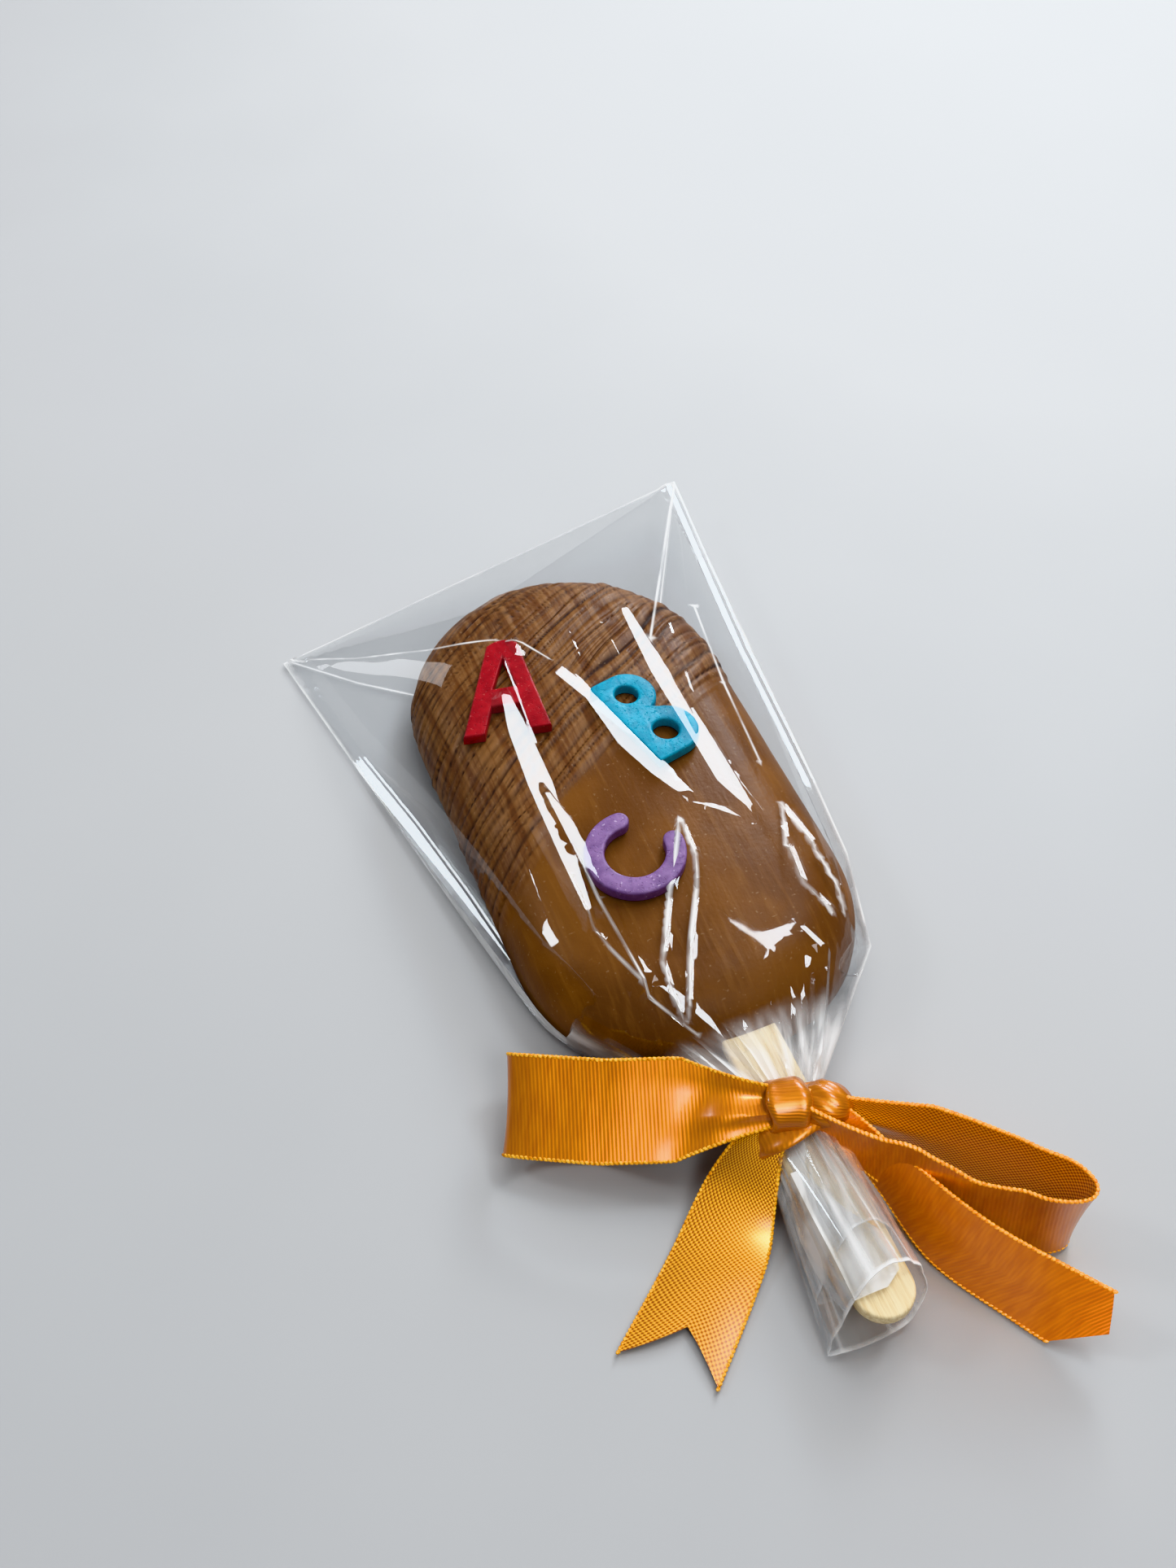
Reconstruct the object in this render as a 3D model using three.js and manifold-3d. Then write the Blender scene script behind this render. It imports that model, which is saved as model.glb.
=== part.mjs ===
// A coated cake pop with three raised shapes on it, in a clear bag tied with a satin bow.
// Millimetres, +Z up. It lies on its back on z = 0, with its stick towards -Y, and the
// origin is under the middle of the bar.
import * as THREE from 'three';
import { mergeVertices } from 'three/addons/utils/BufferGeometryUtils.js';
import { ConvexGeometry } from 'three/addons/geometries/ConvexGeometry.js';
import Module from 'manifold-3d';

const wasm = await Module();
wasm.setup();

// Driving dimensions
const GAP = 0.3; // between pieces that touch
const FILM = 0.9; // wall of the bag's solid

const BAR = {
  width: 50,
  length: 91,
  depth: 14, // from its flat back to the top of its crown
  base: 1.2, // height of its back over the table
  foot: 2, // rounding round the back
  shoulderIn: 11, // rounding round the top, inwards
  shoulderDown: 9, // and downwards
  crown: 1, // rise of the top over the shoulders
  farPower: 2, // the far end is a half circle
  nearPower: 2.3, // the stick's end is a little squarer
};

const STICK = { width: 8, thick: 2, length: 93, reach: 41, height: 7.2 };

const DRIZZLE = {
  pitch: 2.1, // from thread to thread
  width: 1.3,
  proud: 0.6,
  sunk: 0.5, // into the coating
  turn: 33, // of the threads from +X, in degrees
  steps: 10, // along a thread
  margin: 0.93, // share of the way to the bar's side where a thread ends
  shortest: 4, // thread that is still drawn
};
// The threads end on this line across the bar, from its left side to its right side.
const DRIZZLE_EDGE = [[-27, -20], [-20, -16], [-10, -5], [0, 0], [13, 4], [24, 12]];

const LETTER_THICK = 2;
const LETTER_BEVEL = 0.35;
const LETTER_A = { x: -13.9, y: 10.8, turn: -17, height: 18.4, foot: 13.2, top: 4.8, stroke: 3.3 };
const LETTER_B = { x: 4.5, y: -3.7, turn: 15.6, height: 17.6, width: 9.8, hole: 2 };
const LETTER_C = { x: -5.2, y: -17.2, turn: 45, outer: 7.2, inner: 4.3, opening: 92 };

const BAG = {
  farLeft: [-39.5, 51.5, 0],
  farRight: [35.5, 61, 8],
  leftSide: [[-35, 27], [-31, 10.5], [-28, -4.5], [-25, -23.5], [-21.4, -34.7]],
  rightSide: [[34, 43.5], [31.2, 21], [28.7, -7.5], [26.9, -22], [22.5, -37.7], [18.2, -41]],
  rightHeight: 6, // of the right side's fold over the table
  foldThick: 1.1, // where the film lies flat on itself
};
const NECK = { from: -48, tie: -55.5, to: -65, halfWidth: 5.3, halfHeight: 2.9, flareX: 2, flareZ: 1 };
const MOUTH = { y: -84, halfWidth: 7.6, halfHeight: 6.2, height: 6.4 };
// How far the film has opened halfway from the neck to the mouth, as a share of the way.
const OPENED = { width: 0.62, height: 0.58 };

const RIBBON = { width: 13, thick: 0.8 };
const KNOT = { x: 0.9, y: -58.7, z: 12, halfX: 4.8, halfY: 3.3, halfZ: 2.6, wrap: 7, wrapWall: 1.4 };
const LEFT_LOOP = { heading: 154, reach: 38.5, belly: 2.4, lean: 60, restHeight: 6.5, side: -1 };
const RIGHT_LOOP = { heading: -43, reach: 36.5, belly: 3.3, lean: 4, restHeight: 7.2, side: 1 };
const LOOP_PINCH = 0.3; // share of the ribbon's width that is left at the knot
const LOOP_OPEN = 0.42; // share of a loop's reach where the ribbon is wide again
const LOOP_DOWN = 0.67; // share of a loop's reach where it has come down to the table
const LOOP_APART = 1.1; // from a loop's middle to each of its two layers, at the knot
// Depth of the cut at each tail's end: a notch above 0, a point below 0.
const LEFT_CUT = 5;
const RIGHT_CUT = -5;
// A tail's two edges, from the knot to its end.
const LEFT_TAIL = [
  [[-2.5, -56.5, 11.5], [0.5, -59.5, 11.5]],
  [[-8.2, -58.2, 8.2], [-3.2, -61.8, 9]],
  [[-13, -60.2, 3.6], [-6.4, -66.6, 4]],
  [[-19.7, -65.7, 0.9], [-9.2, -71.2, 1.6]],
  [[-25.2, -70.3, 0.6], [-13.6, -75.9, 0.6]],
  [[-31.6, -75.5, 0.6], [-22.1, -84.1, 0.6]],
];
const RIGHT_TAIL = [
  [[4, -58.5, 12.5], [1, -60.5, 11]],
  [[6.6, -63.6, 12.4], [4.4, -64, 7.6]],
  [[9, -69.4, 11.8], [7.4, -70, 3]],
  [[14.6, -80.4, 11], [9.8, -80, 0.8]],
  [[22.5, -90, 9], [15.5, -90.3, 0.6]],
  [[28.4, -96.4, 7.2], [19.6, -96.6, 0.6]],
];

const radians = THREE.MathUtils.degToRad;
const lerp = THREE.MathUtils.lerp;
const clamp = THREE.MathUtils.clamp;

// Meshes and solids

/** A geometry of merged positions alone, without slivers of no area. */
function plain(geometry) {
  const bare = new THREE.BufferGeometry();
  bare.setAttribute('position', geometry.attributes.position.clone());
  if (geometry.index) bare.setIndex(geometry.index.clone());
  const merged = mergeVertices(bare, 1e-4);
  const index = merged.index.array;
  const kept = [];
  for (let i = 0; i < index.length; i += 3) {
    const [a, b, c] = [index[i], index[i + 1], index[i + 2]];
    if (a !== b && b !== c && c !== a) kept.push(a, b, c);
  }
  merged.setIndex(kept);
  return merged;
}

function toSolid(geometry) {
  const merged = plain(geometry);
  return new wasm.Manifold(new wasm.Mesh({
    numProp: 3,
    vertProperties: new Float32Array(merged.attributes.position.array),
    triVerts: new Uint32Array(merged.index.array),
  }));
}

function toGeometry(solid) {
  const mesh = solid.getMesh();
  const geometry = new THREE.BufferGeometry();
  geometry.setAttribute('position', new THREE.BufferAttribute(mesh.vertProperties, 3));
  geometry.setIndex(new THREE.BufferAttribute(mesh.triVerts, 1));
  return geometry;
}

/** A closed skin over rings of as many points each, the first and last either shut or capped. */
function skin(rings, capped) {
  const count = rings[0].length;
  const positions = rings.flat().flatMap((p) => [p.x, p.y, p.z]);
  const index = [];
  for (let r = 0; r + 1 < rings.length; r++) {
    for (let i = 0; i < count; i++) {
      const a = r * count + i;
      const b = r * count + (i + 1) % count;
      index.push(a, b, b + count, a, b + count, a + count);
    }
  }
  if (capped) {
    for (const [ring, flip] of [[0, true], [rings.length - 1, false]]) {
      const middle = positions.length / 3;
      const centre = rings[ring].reduce((sum, p) => sum.add(p), new THREE.Vector3()).divideScalar(count);
      positions.push(centre.x, centre.y, centre.z);
      for (let i = 0; i < count; i++) {
        const a = ring * count + i;
        const b = ring * count + (i + 1) % count;
        index.push(...(flip ? [b, a, middle] : [a, b, middle]));
      }
    }
  }
  const geometry = new THREE.BufferGeometry();
  geometry.setAttribute('position', new THREE.Float32BufferAttribute(positions, 3));
  geometry.setIndex(index);
  return geometry;
}

/** The solid inside a skin, whichever way its rings were wound. */
function skinSolid(rings, capped) {
  const geometry = plain(skin(rings, capped));
  const solid = toSolid(geometry);
  if (!solid.isEmpty() && solid.volume() > 0) return solid;
  const index = geometry.index.array;
  for (let i = 0; i < index.length; i += 3) {
    [index[i], index[i + 1]] = [index[i + 1], index[i]];
  }
  return toSolid(geometry);
}

function hull(points) {
  return toSolid(new ConvexGeometry(points));
}

/** The largest body of a solid, with any hollow that joining has sealed in it filled. */
function wholeBody(solid) {
  const shells = solid.decompose();
  return shells.reduce((best, shell) => (shell.volume() > best.volume() ? shell : best));
}

// The coated bar

const barStraight = BAR.length / 2 - BAR.width / 2; // half the length of its straight sides
const barTop = BAR.base + BAR.depth;

/** How far (x, y) lies from the bar's middle line, as a share of the way to its side. */
function barShare(x, y) {
  const beyond = Math.max(Math.abs(y) - barStraight, 0);
  const power = y > 0 ? BAR.farPower : BAR.nearPower;
  const r = BAR.width / 2;
  return (Math.abs(x / r) ** power + (beyond / r) ** power) ** (1 / power);
}

/** Height of the bar's top at a share of the way from its middle line to its side. */
function topHeight(share) {
  const inset = (BAR.width / 2) * (1 - share);
  if (inset >= BAR.shoulderIn) {
    const flat = share / (1 - BAR.shoulderIn / (BAR.width / 2));
    return barTop - BAR.crown * flat * flat;
  }
  const out = (BAR.shoulderIn - inset) / BAR.shoulderIn;
  return barTop - BAR.crown - BAR.shoulderDown * (1 - Math.sqrt(Math.max(1 - out * out, 0)));
}

/** One side of the bar's outline, from its far tip to its near tip. */
function barSide(turnSteps, straightSteps) {
  const r = BAR.width / 2;
  const side = [];
  for (let i = 0; i <= turnSteps; i++) {
    const angle = (Math.PI / 2) * (1 - i / turnSteps);
    side.push([r * Math.cos(angle) ** (2 / BAR.farPower), barStraight + r * Math.sin(angle) ** (2 / BAR.farPower)]);
  }
  for (let i = 1; i < straightSteps; i++) {
    side.push([r, lerp(barStraight, -barStraight, i / straightSteps)]);
  }
  for (let i = 0; i <= turnSteps; i++) {
    const angle = (Math.PI / 2) * (i / turnSteps);
    side.push([r * Math.cos(angle) ** (2 / BAR.nearPower), -barStraight - r * Math.sin(angle) ** (2 / BAR.nearPower)]);
  }
  side[0][0] = 0;
  side[side.length - 1][0] = 0;
  return side;
}

/** The bar as rings from the middle of its back to the middle of its top, grown all round. */
function barSolid(grown) {
  const right = barSide(8, 5);
  const left = right.slice(1, -1).reverse().map(([x, y]) => [-x, y]);
  const outline = [...right, ...left];
  const levels = [[0, BAR.base - grown]];
  const r = BAR.width / 2;
  const footSteps = 2;
  for (let i = 0; i <= footSteps; i++) {
    const angle = (Math.PI / 2) * (i / footSteps);
    const out = r - BAR.foot + BAR.foot * Math.sin(angle);
    levels.push([out / r, BAR.base - grown + BAR.foot * (1 - Math.cos(angle))]);
  }
  const shoulderSteps = 6;
  for (let i = 0; i <= shoulderSteps; i++) {
    const angle = (Math.PI / 2) * (i / shoulderSteps);
    const share = 1 - (BAR.shoulderIn / r) * (1 - Math.cos(angle));
    levels.push([share, topHeight(share) + grown]);
  }
  for (const share of [0.3, 0]) levels.push([share, topHeight(share) + grown]);
  const rings = levels.map(([share, z]) => outline.map(([x, y]) => {
    const cy = clamp(y, -barStraight, barStraight);
    const reach = share * (1 + grown / r);
    return new THREE.Vector3(x * reach, cy + (y - cy) * reach, z);
  }));
  return skinSolid(rings, false);
}

/** Where the threads end at x: they cover what lies beyond this line. */
function drizzleEdge(x) {
  const line = DRIZZLE_EDGE;
  for (let i = 0; i + 1 < line.length; i++) {
    const [x0, y0] = line[i];
    const [x1, y1] = line[i + 1];
    if (x <= x1) return lerp(y0, y1, clamp((x - x0) / (x1 - x0), 0, 1));
  }
  return line[line.length - 1][1];
}

/** A raised thread along a run of points on the bar's top, three-sided and sunk a little. */
function thread(run, along) {
  const across = new THREE.Vector2(-along.y, along.x).multiplyScalar(DRIZZLE.width / 2);
  const height = (x, y) => topHeight(Math.min(barShare(x, y), 1));
  const rings = run.map(([x, y], i) => {
    const taper = i === 0 || i === run.length - 1 ? 0.2 : 1;
    const crest = height(x, y) + DRIZZLE.proud * taper;
    const left = [x + across.x, y + across.y];
    const right = [x - across.x, y - across.y];
    return [
      new THREE.Vector3(...left, height(...left) - DRIZZLE.sunk),
      new THREE.Vector3(...right, height(...right) - DRIZZLE.sunk),
      new THREE.Vector3(x, y, crest),
    ];
  });
  return skinSolid(rings, true);
}

/** All threads, side by side, over the far part of the bar. */
function drizzle() {
  const along = new THREE.Vector2(Math.cos(radians(DRIZZLE.turn)), Math.sin(radians(DRIZZLE.turn)));
  const threads = [];
  const fine = 0.5;
  for (let offset = -BAR.length / 2; offset < BAR.length; offset += DRIZZLE.pitch) {
    const inside = [];
    for (let s = -BAR.length; s <= BAR.length; s += fine) {
      const x = along.x * s - along.y * offset;
      const y = along.y * s + along.x * offset;
      if (barShare(x, y) < DRIZZLE.margin && y > drizzleEdge(x)) inside.push([x, y]);
    }
    if (inside.length * fine < DRIZZLE.shortest) continue;
    const run = [];
    for (let i = 0; i <= DRIZZLE.steps; i++) {
      run.push(inside[Math.round((inside.length - 1) * i / DRIZZLE.steps)]);
    }
    threads.push(thread(run, along));
  }
  return threads;
}

function stickSolid(grown) {
  const half = STICK.width / 2 + grown;
  const near = -BAR.length / 2 - STICK.reach - grown;
  const far = near + STICK.length + 2 * grown;
  const shape = new THREE.Shape();
  shape.moveTo(half, near + half);
  shape.lineTo(half, far - half);
  shape.absarc(0, far - half, half, 0, Math.PI, false);
  shape.lineTo(-half, near + half);
  shape.absarc(0, near + half, half, Math.PI, 2 * Math.PI, false);
  const depth = STICK.thick + 2 * grown;
  const board = new THREE.ExtrudeGeometry(shape, { depth, bevelEnabled: false, curveSegments: 10 });
  board.translate(0, 0, STICK.height - depth / 2);
  return toSolid(board);
}

// The letters

/** A pointed letter on two feet with a bar across, its feet on y = 0. */
function shapeA({ height, foot, top, stroke }) {
  const shape = new THREE.Shape();
  shape.moveTo(-foot / 2, 0);
  shape.lineTo(-foot / 2 + stroke, 0);
  shape.lineTo(-foot / 2 + stroke * 1.35, height * 0.28);
  shape.lineTo(foot / 2 - stroke * 1.35, height * 0.28);
  shape.lineTo(foot / 2 - stroke, 0);
  shape.lineTo(foot / 2, 0);
  shape.lineTo(top / 2, height - 0.9);
  shape.quadraticCurveTo(0, height + 0.9, -top / 2, height - 0.9);
  shape.closePath();
  const hole = new THREE.Path();
  hole.moveTo(-1.75, height * 0.47);
  hole.lineTo(0, height * 0.8);
  hole.lineTo(1.75, height * 0.47);
  hole.closePath();
  shape.holes.push(hole);
  return shape;
}

/** A straight spine from the origin upwards with two bowls to its right. */
function shapeB({ height, width, hole }) {
  const waist = height * 0.52;
  const upper = (height - waist) / 2;
  const lower = waist / 2;
  const shape = new THREE.Shape();
  shape.moveTo(0, 0);
  shape.lineTo(width - lower, 0);
  shape.absarc(width - lower, lower, lower, -Math.PI / 2, Math.PI / 2 - 0.35, false);
  shape.absarc(width - 1 - upper, waist + upper, upper, -Math.PI / 2 + 0.35, Math.PI / 2, false);
  shape.lineTo(1.2, height);
  shape.quadraticCurveTo(0, height, 0, height - 1.2);
  shape.closePath();
  for (const [x, y, r] of [[width - lower - 0.5, lower, hole], [width - 1 - upper - 0.4, waist + upper, hole * 0.9]]) {
    const path = new THREE.Path();
    path.absarc(x, y, r, 0, 2 * Math.PI, true);
    shape.holes.push(path);
  }
  return shape;
}

/** An open ring about the origin with round ends, its opening centred on +X. */
function shapeC({ outer, inner, opening }) {
  const half = radians(opening / 2);
  const middle = (outer + inner) / 2;
  const end = (outer - inner) / 2;
  const shape = new THREE.Shape();
  shape.absarc(0, 0, outer, half, 2 * Math.PI - half, false);
  const lower = 2 * Math.PI - half;
  shape.absarc(middle * Math.cos(lower), middle * Math.sin(lower), end, lower, lower + Math.PI, false);
  shape.absarc(0, 0, inner, lower, half, true);
  shape.absarc(middle * Math.cos(half), middle * Math.sin(half), end, half + Math.PI, half + 2 * Math.PI, false);
  return shape;
}

/** A letter laid on the bar's top: it tilts with the three spots that it rests on. */
function letterSolid(shape, place, spots) {
  const cut = new THREE.ExtrudeGeometry(shape, {
    depth: LETTER_THICK - LETTER_BEVEL,
    bevelThickness: LETTER_BEVEL,
    bevelSize: LETTER_BEVEL,
    bevelOffset: -LETTER_BEVEL,
    bevelSegments: 1,
    curveSegments: 9,
  });
  cut.rotateZ(radians(place.turn));
  const turned = new THREE.Vector2();
  const rests = spots.map(([x, y]) => {
    turned.set(x, y).rotateAround(new THREE.Vector2(), radians(place.turn));
    const [wx, wy] = [turned.x + place.x, turned.y + place.y];
    return new THREE.Vector3(wx, wy, topHeight(barShare(wx, wy)) + DRIZZLE.proud * 0.5);
  });
  const plane = new THREE.Plane().setFromCoplanarPoints(...rests);
  if (plane.normal.z < 0) plane.negate();
  const { normal } = plane;
  const heightAt = (x, y) => (-plane.constant - normal.x * x - normal.y * y) / normal.z;
  const position = cut.attributes.position;
  for (let i = 0; i < position.count; i++) {
    const x = position.getX(i) + place.x;
    const y = position.getY(i) + place.y;
    position.setXYZ(i, x, y, position.getZ(i) + heightAt(x, y));
  }
  return toSolid(cut);
}

/** The room that a solid needs in the bag: its hull, pushed out a little. */
function roomFor(solid, clear) {
  const position = toGeometry(solid).attributes.position;
  const box = new THREE.Box3().setFromBufferAttribute(position);
  const centre = box.getCenter(new THREE.Vector3());
  const points = [];
  for (let i = 0; i < position.count; i++) {
    const p = new THREE.Vector3().fromBufferAttribute(position, i);
    const out = p.clone().sub(centre).normalize().multiplyScalar(clear);
    points.push(p.add(out));
  }
  return points;
}

// The bag

/** An upright oval across the stick, at y. */
function oval(y, halfWidth, halfHeight, height, count = 20) {
  const ring = [];
  for (let i = 0; i < count; i++) {
    const angle = (2 * Math.PI * i) / count;
    ring.push(new THREE.Vector3(halfWidth * Math.cos(angle), y, height + halfHeight * Math.sin(angle)));
  }
  return ring;
}

/** Corners of the film's flat far edge and its two folded sides, each as thick as the fold. */
function bagEdges() {
  const points = [];
  const fold = ([x, y], z) => {
    points.push(new THREE.Vector3(x, y, z), new THREE.Vector3(x, y, z + BAG.foldThick));
  };
  fold(BAG.farLeft, BAG.farLeft[2]);
  fold(BAG.farRight, BAG.farRight[2]);
  fold([lerp(BAG.farLeft[0], BAG.farRight[0], 0.5), lerp(BAG.farLeft[1], BAG.farRight[1], 0.5)], 0);
  for (const spot of BAG.leftSide) fold(spot, 0);
  for (const spot of BAG.rightSide) fold(spot, BAG.rightHeight);
  return points;
}

function bagSolid(bar, stick, letters) {
  const outer = [...bagEdges(), ...oval(NECK.tie, NECK.halfWidth, NECK.halfHeight, STICK.height)];
  outer.push(...roomFor(barSolid(GAP + FILM), 0));
  for (const letter of letters) outer.push(...roomFor(letter, GAP + FILM));
  const above = outer.map((p) => p.setZ(Math.max(p.z, 0)));
  const opened = (less) => oval(
    lerp(NECK.to, MOUTH.y, 0.5),
    lerp(NECK.halfWidth, MOUTH.halfWidth, OPENED.width) - less,
    lerp(NECK.halfHeight, MOUTH.halfHeight, OPENED.height) - less,
    lerp(STICK.height, MOUTH.height, 0.5),
  );
  const neck = skinSolid([
    oval(NECK.from, NECK.halfWidth + NECK.flareX, NECK.halfHeight + NECK.flareZ, STICK.height),
    oval(NECK.tie, NECK.halfWidth, NECK.halfHeight, STICK.height),
    oval(NECK.to, NECK.halfWidth, NECK.halfHeight, STICK.height),
    opened(0),
    oval(MOUTH.y, MOUTH.halfWidth, MOUTH.halfHeight, MOUTH.height),
  ], true);
  const past = 0.5; // beyond the mouth's rim, so that the cut leaves no skin
  const inside = skinSolid([
    oval(NECK.to - FILM, STICK.width / 2 + GAP, NECK.halfHeight - FILM, STICK.height),
    opened(FILM),
    oval(MOUTH.y - past, MOUTH.halfWidth - FILM, MOUTH.halfHeight - FILM, MOUTH.height),
  ], true);
  let bag = hull(above).add(neck).subtract(inside).subtract(bar).subtract(stick);
  for (const letter of letters) bag = bag.subtract(hull(roomFor(letter, GAP + 0.1)));
  return bag;
}

// The bow

/** A strip of ribbon between two edges, given as functions of 0 to 1. cut is a share of its length. */
function ribbonStrip(edges, steps, cut) {
  const columns = 2;
  const half = RIBBON.thick / 2;
  const along = (t) => {
    const step = 0.01;
    const [a0, b0] = edges(Math.max(t - step, 0));
    const [a1, b1] = edges(Math.min(t + step, 1));
    return a1.add(b1).sub(a0).sub(b0).normalize();
  };
  const rings = [];
  for (let i = 0; i <= steps; i++) {
    const front = [];
    const back = [];
    for (let c = 0; c <= columns; c++) {
      const u = c / columns;
      const side = Math.abs(2 * u - 1);
      const t = (i / steps) * (cut > 0 ? 1 - cut * (1 - side) : 1 + cut * side);
      const [a, b] = edges(t);
      const at = a.clone().lerp(b, u);
      const face = b.clone().sub(a).cross(along(t)).normalize().multiplyScalar(half);
      front.push(at.clone().add(face));
      back.unshift(at.clone().sub(face));
    }
    rings.push([...front, ...back]);
  }
  return skinSolid(rings, true);
}

/** A loop of the bow: out from the knot along its heading, round, and back behind itself. */
function loopStrip({ heading, reach, belly, lean, restHeight, side }) {
  const out = new THREE.Vector3(Math.cos(radians(heading)), Math.sin(radians(heading)), 0);
  const beside = new THREE.Vector3(-out.y, out.x, 0);
  const tip = radians(side * lean);
  const upright = new THREE.Vector3(0, 0, Math.cos(tip)).addScaledVector(beside, Math.sin(tip));
  const normal = new THREE.Vector3(0, 0, -Math.sin(tip)).addScaledVector(beside, Math.cos(tip));
  const edges = (t) => {
    const far = Math.sin(Math.PI * t);
    const width = (RIBBON.width / 2) * lerp(LOOP_PINCH, 1, Math.min(far / LOOP_OPEN, 1) ** 1.5);
    const height = lerp(KNOT.z - 0.5, restHeight, Math.min(far / LOOP_DOWN, 1));
    const middle = new THREE.Vector3(KNOT.x, KNOT.y, height)
      .addScaledVector(out, reach * far)
      .addScaledVector(normal, belly * Math.sin(2 * Math.PI * t) + LOOP_APART * Math.cos(Math.PI * t));
    const up = upright.clone().multiplyScalar(width);
    return [middle.clone().add(up), middle.clone().sub(up)];
  };
  return ribbonStrip(edges, 32, 0);
}

function tailStrip(pairs, cut) {
  const first = new THREE.CatmullRomCurve3(pairs.map(([a]) => new THREE.Vector3(...a)));
  const second = new THREE.CatmullRomCurve3(pairs.map(([, b]) => new THREE.Vector3(...b)));
  return ribbonStrip((t) => [first.getPoint(t), second.getPoint(t)], 18, cut / first.getLength());
}

/** The knot: the ribbon's turn round the neck, and the round lump on top of it. */
function knotSolid() {
  const wall = KNOT.wrapWall;
  const wrap = [];
  const hole = [];
  for (const [y, less] of [[-1, 0.5], [-0.7, 0], [0.7, 0], [1, 0.5]]) {
    const at = KNOT.y + (KNOT.wrap / 2) * y;
    wrap.push(oval(at, NECK.halfWidth + GAP + wall - less, NECK.halfHeight + GAP + wall - less, STICK.height));
  }
  for (const y of [-1, 1]) {
    hole.push(oval(KNOT.y + KNOT.wrap * y, NECK.halfWidth + GAP, NECK.halfHeight + GAP, STICK.height));
  }
  const lump = new THREE.SphereGeometry(1, 14, 10);
  lump.scale(KNOT.halfX, KNOT.halfY, KNOT.halfZ);
  lump.rotateZ(radians(-22));
  lump.translate(KNOT.x, KNOT.y, KNOT.z);
  return skinSolid(wrap, true).add(toSolid(lump)).subtract(skinSolid(hole, true));
}

// The model

const materials = {
  coating: new THREE.MeshStandardMaterial({ color: 0x784b1c, roughness: 0.42 }),
  wood: new THREE.MeshStandardMaterial({ color: 0xe0cf9c, roughness: 0.7 }),
  red: new THREE.MeshStandardMaterial({ color: 0xb01c26, roughness: 0.5 }),
  teal: new THREE.MeshStandardMaterial({ color: 0x0499bd, roughness: 0.5 }),
  purple: new THREE.MeshStandardMaterial({ color: 0x8a63ad, roughness: 0.5 }),
  film: new THREE.MeshStandardMaterial({ color: 0xf2f4f6, roughness: 0.05, transparent: true, opacity: 0.25 }),
  satin: new THREE.MeshStandardMaterial({ color: 0xd69a24, roughness: 0.4 }),
};

const model = new THREE.Group();

function addNode(name, solid, material) {
  const mesh = new THREE.Mesh(toGeometry(solid), material);
  mesh.name = name;
  model.add(mesh);
}

const barRoom = barSolid(GAP + DRIZZLE.proud * 0.5);
const stickRoom = stickSolid(GAP);
const letters = [
  letterSolid(shapeA(LETTER_A), LETTER_A, [[0, LETTER_A.height], [-5, 0.5], [5, 0.5]]),
  letterSolid(shapeB(LETTER_B), LETTER_B, [[1, 1], [1, LETTER_B.height - 1], [LETTER_B.width - 1, 5]]),
  letterSolid(shapeC(LETTER_C), LETTER_C, [[-6, 0], [3, 5], [3, -5]]),
].map((letter) => letter.subtract(barRoom));

let coated = barSolid(0);
for (const line of drizzle()) coated = coated.add(line);
coated = coated.subtract(stickRoom);
for (const letter of letters) {
  coated = coated.subtract(hull(roomFor(letter, GAP)));
}

const cavity = barSolid(GAP + DRIZZLE.proud);
const bag = bagSolid(cavity, stickRoom, letters);

let bow = knotSolid().add(loopStrip(LEFT_LOOP)).add(loopStrip(RIGHT_LOOP));
bow = bow.add(tailStrip(LEFT_TAIL, LEFT_CUT)).add(tailStrip(RIGHT_TAIL, RIGHT_CUT));
bow = wholeBody(bow.subtract(bag));

addNode('cake', coated, materials.coating);
addNode('stick', stickSolid(0), materials.wood);
addNode('letter_a', letters[0], materials.red);
addNode('letter_b', letters[1], materials.teal);
addNode('letter_c', letters[2], materials.purple);
addNode('bag', bag, materials.film);
addNode('bow', bow, materials.satin);

export default model;
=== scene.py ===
# %% [markdown]
# # A cake pop in a clear bag, tied with a satin bow
#
# The real thing is a flat bar of cake on a wooden stick, dipped in milk chocolate. Half of the
# coating is combed into threads, three icing letters lie on it, and a stiff clear bag is gathered
# round the stick under a gold bow. The solid frame gives every place and size, and the cells
# below dress it. All lengths are in millimetres until a mesh is made, because the sheet of film
# and the ribbon are easier to think about in whole numbers.

# %% Load the frame
import math

import bmesh
import bpy
import numpy as np
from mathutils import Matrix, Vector
from mathutils.bvhtree import BVHTree
from mathutils.geometry import delaunay_2d_cdt


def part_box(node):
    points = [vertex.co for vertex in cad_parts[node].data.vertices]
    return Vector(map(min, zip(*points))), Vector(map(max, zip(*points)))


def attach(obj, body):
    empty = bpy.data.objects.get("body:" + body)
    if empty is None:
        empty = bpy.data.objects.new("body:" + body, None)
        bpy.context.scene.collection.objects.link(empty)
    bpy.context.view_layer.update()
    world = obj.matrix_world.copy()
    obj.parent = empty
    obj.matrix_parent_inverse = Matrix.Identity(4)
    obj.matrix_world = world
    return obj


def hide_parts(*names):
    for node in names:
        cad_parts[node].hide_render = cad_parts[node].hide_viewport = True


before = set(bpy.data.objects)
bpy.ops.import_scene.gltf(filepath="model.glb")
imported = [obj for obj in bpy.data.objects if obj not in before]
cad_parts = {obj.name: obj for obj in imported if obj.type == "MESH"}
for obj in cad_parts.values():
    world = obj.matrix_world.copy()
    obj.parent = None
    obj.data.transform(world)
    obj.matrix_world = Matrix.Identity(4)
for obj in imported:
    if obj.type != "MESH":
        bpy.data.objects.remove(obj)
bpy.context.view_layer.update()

MM = 0.001


def node_box(name):
    """Lowest and highest corner of a CAD node, in millimetres."""
    low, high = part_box(name)
    return np.array(low) / MM, np.array(high) / MM


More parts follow.
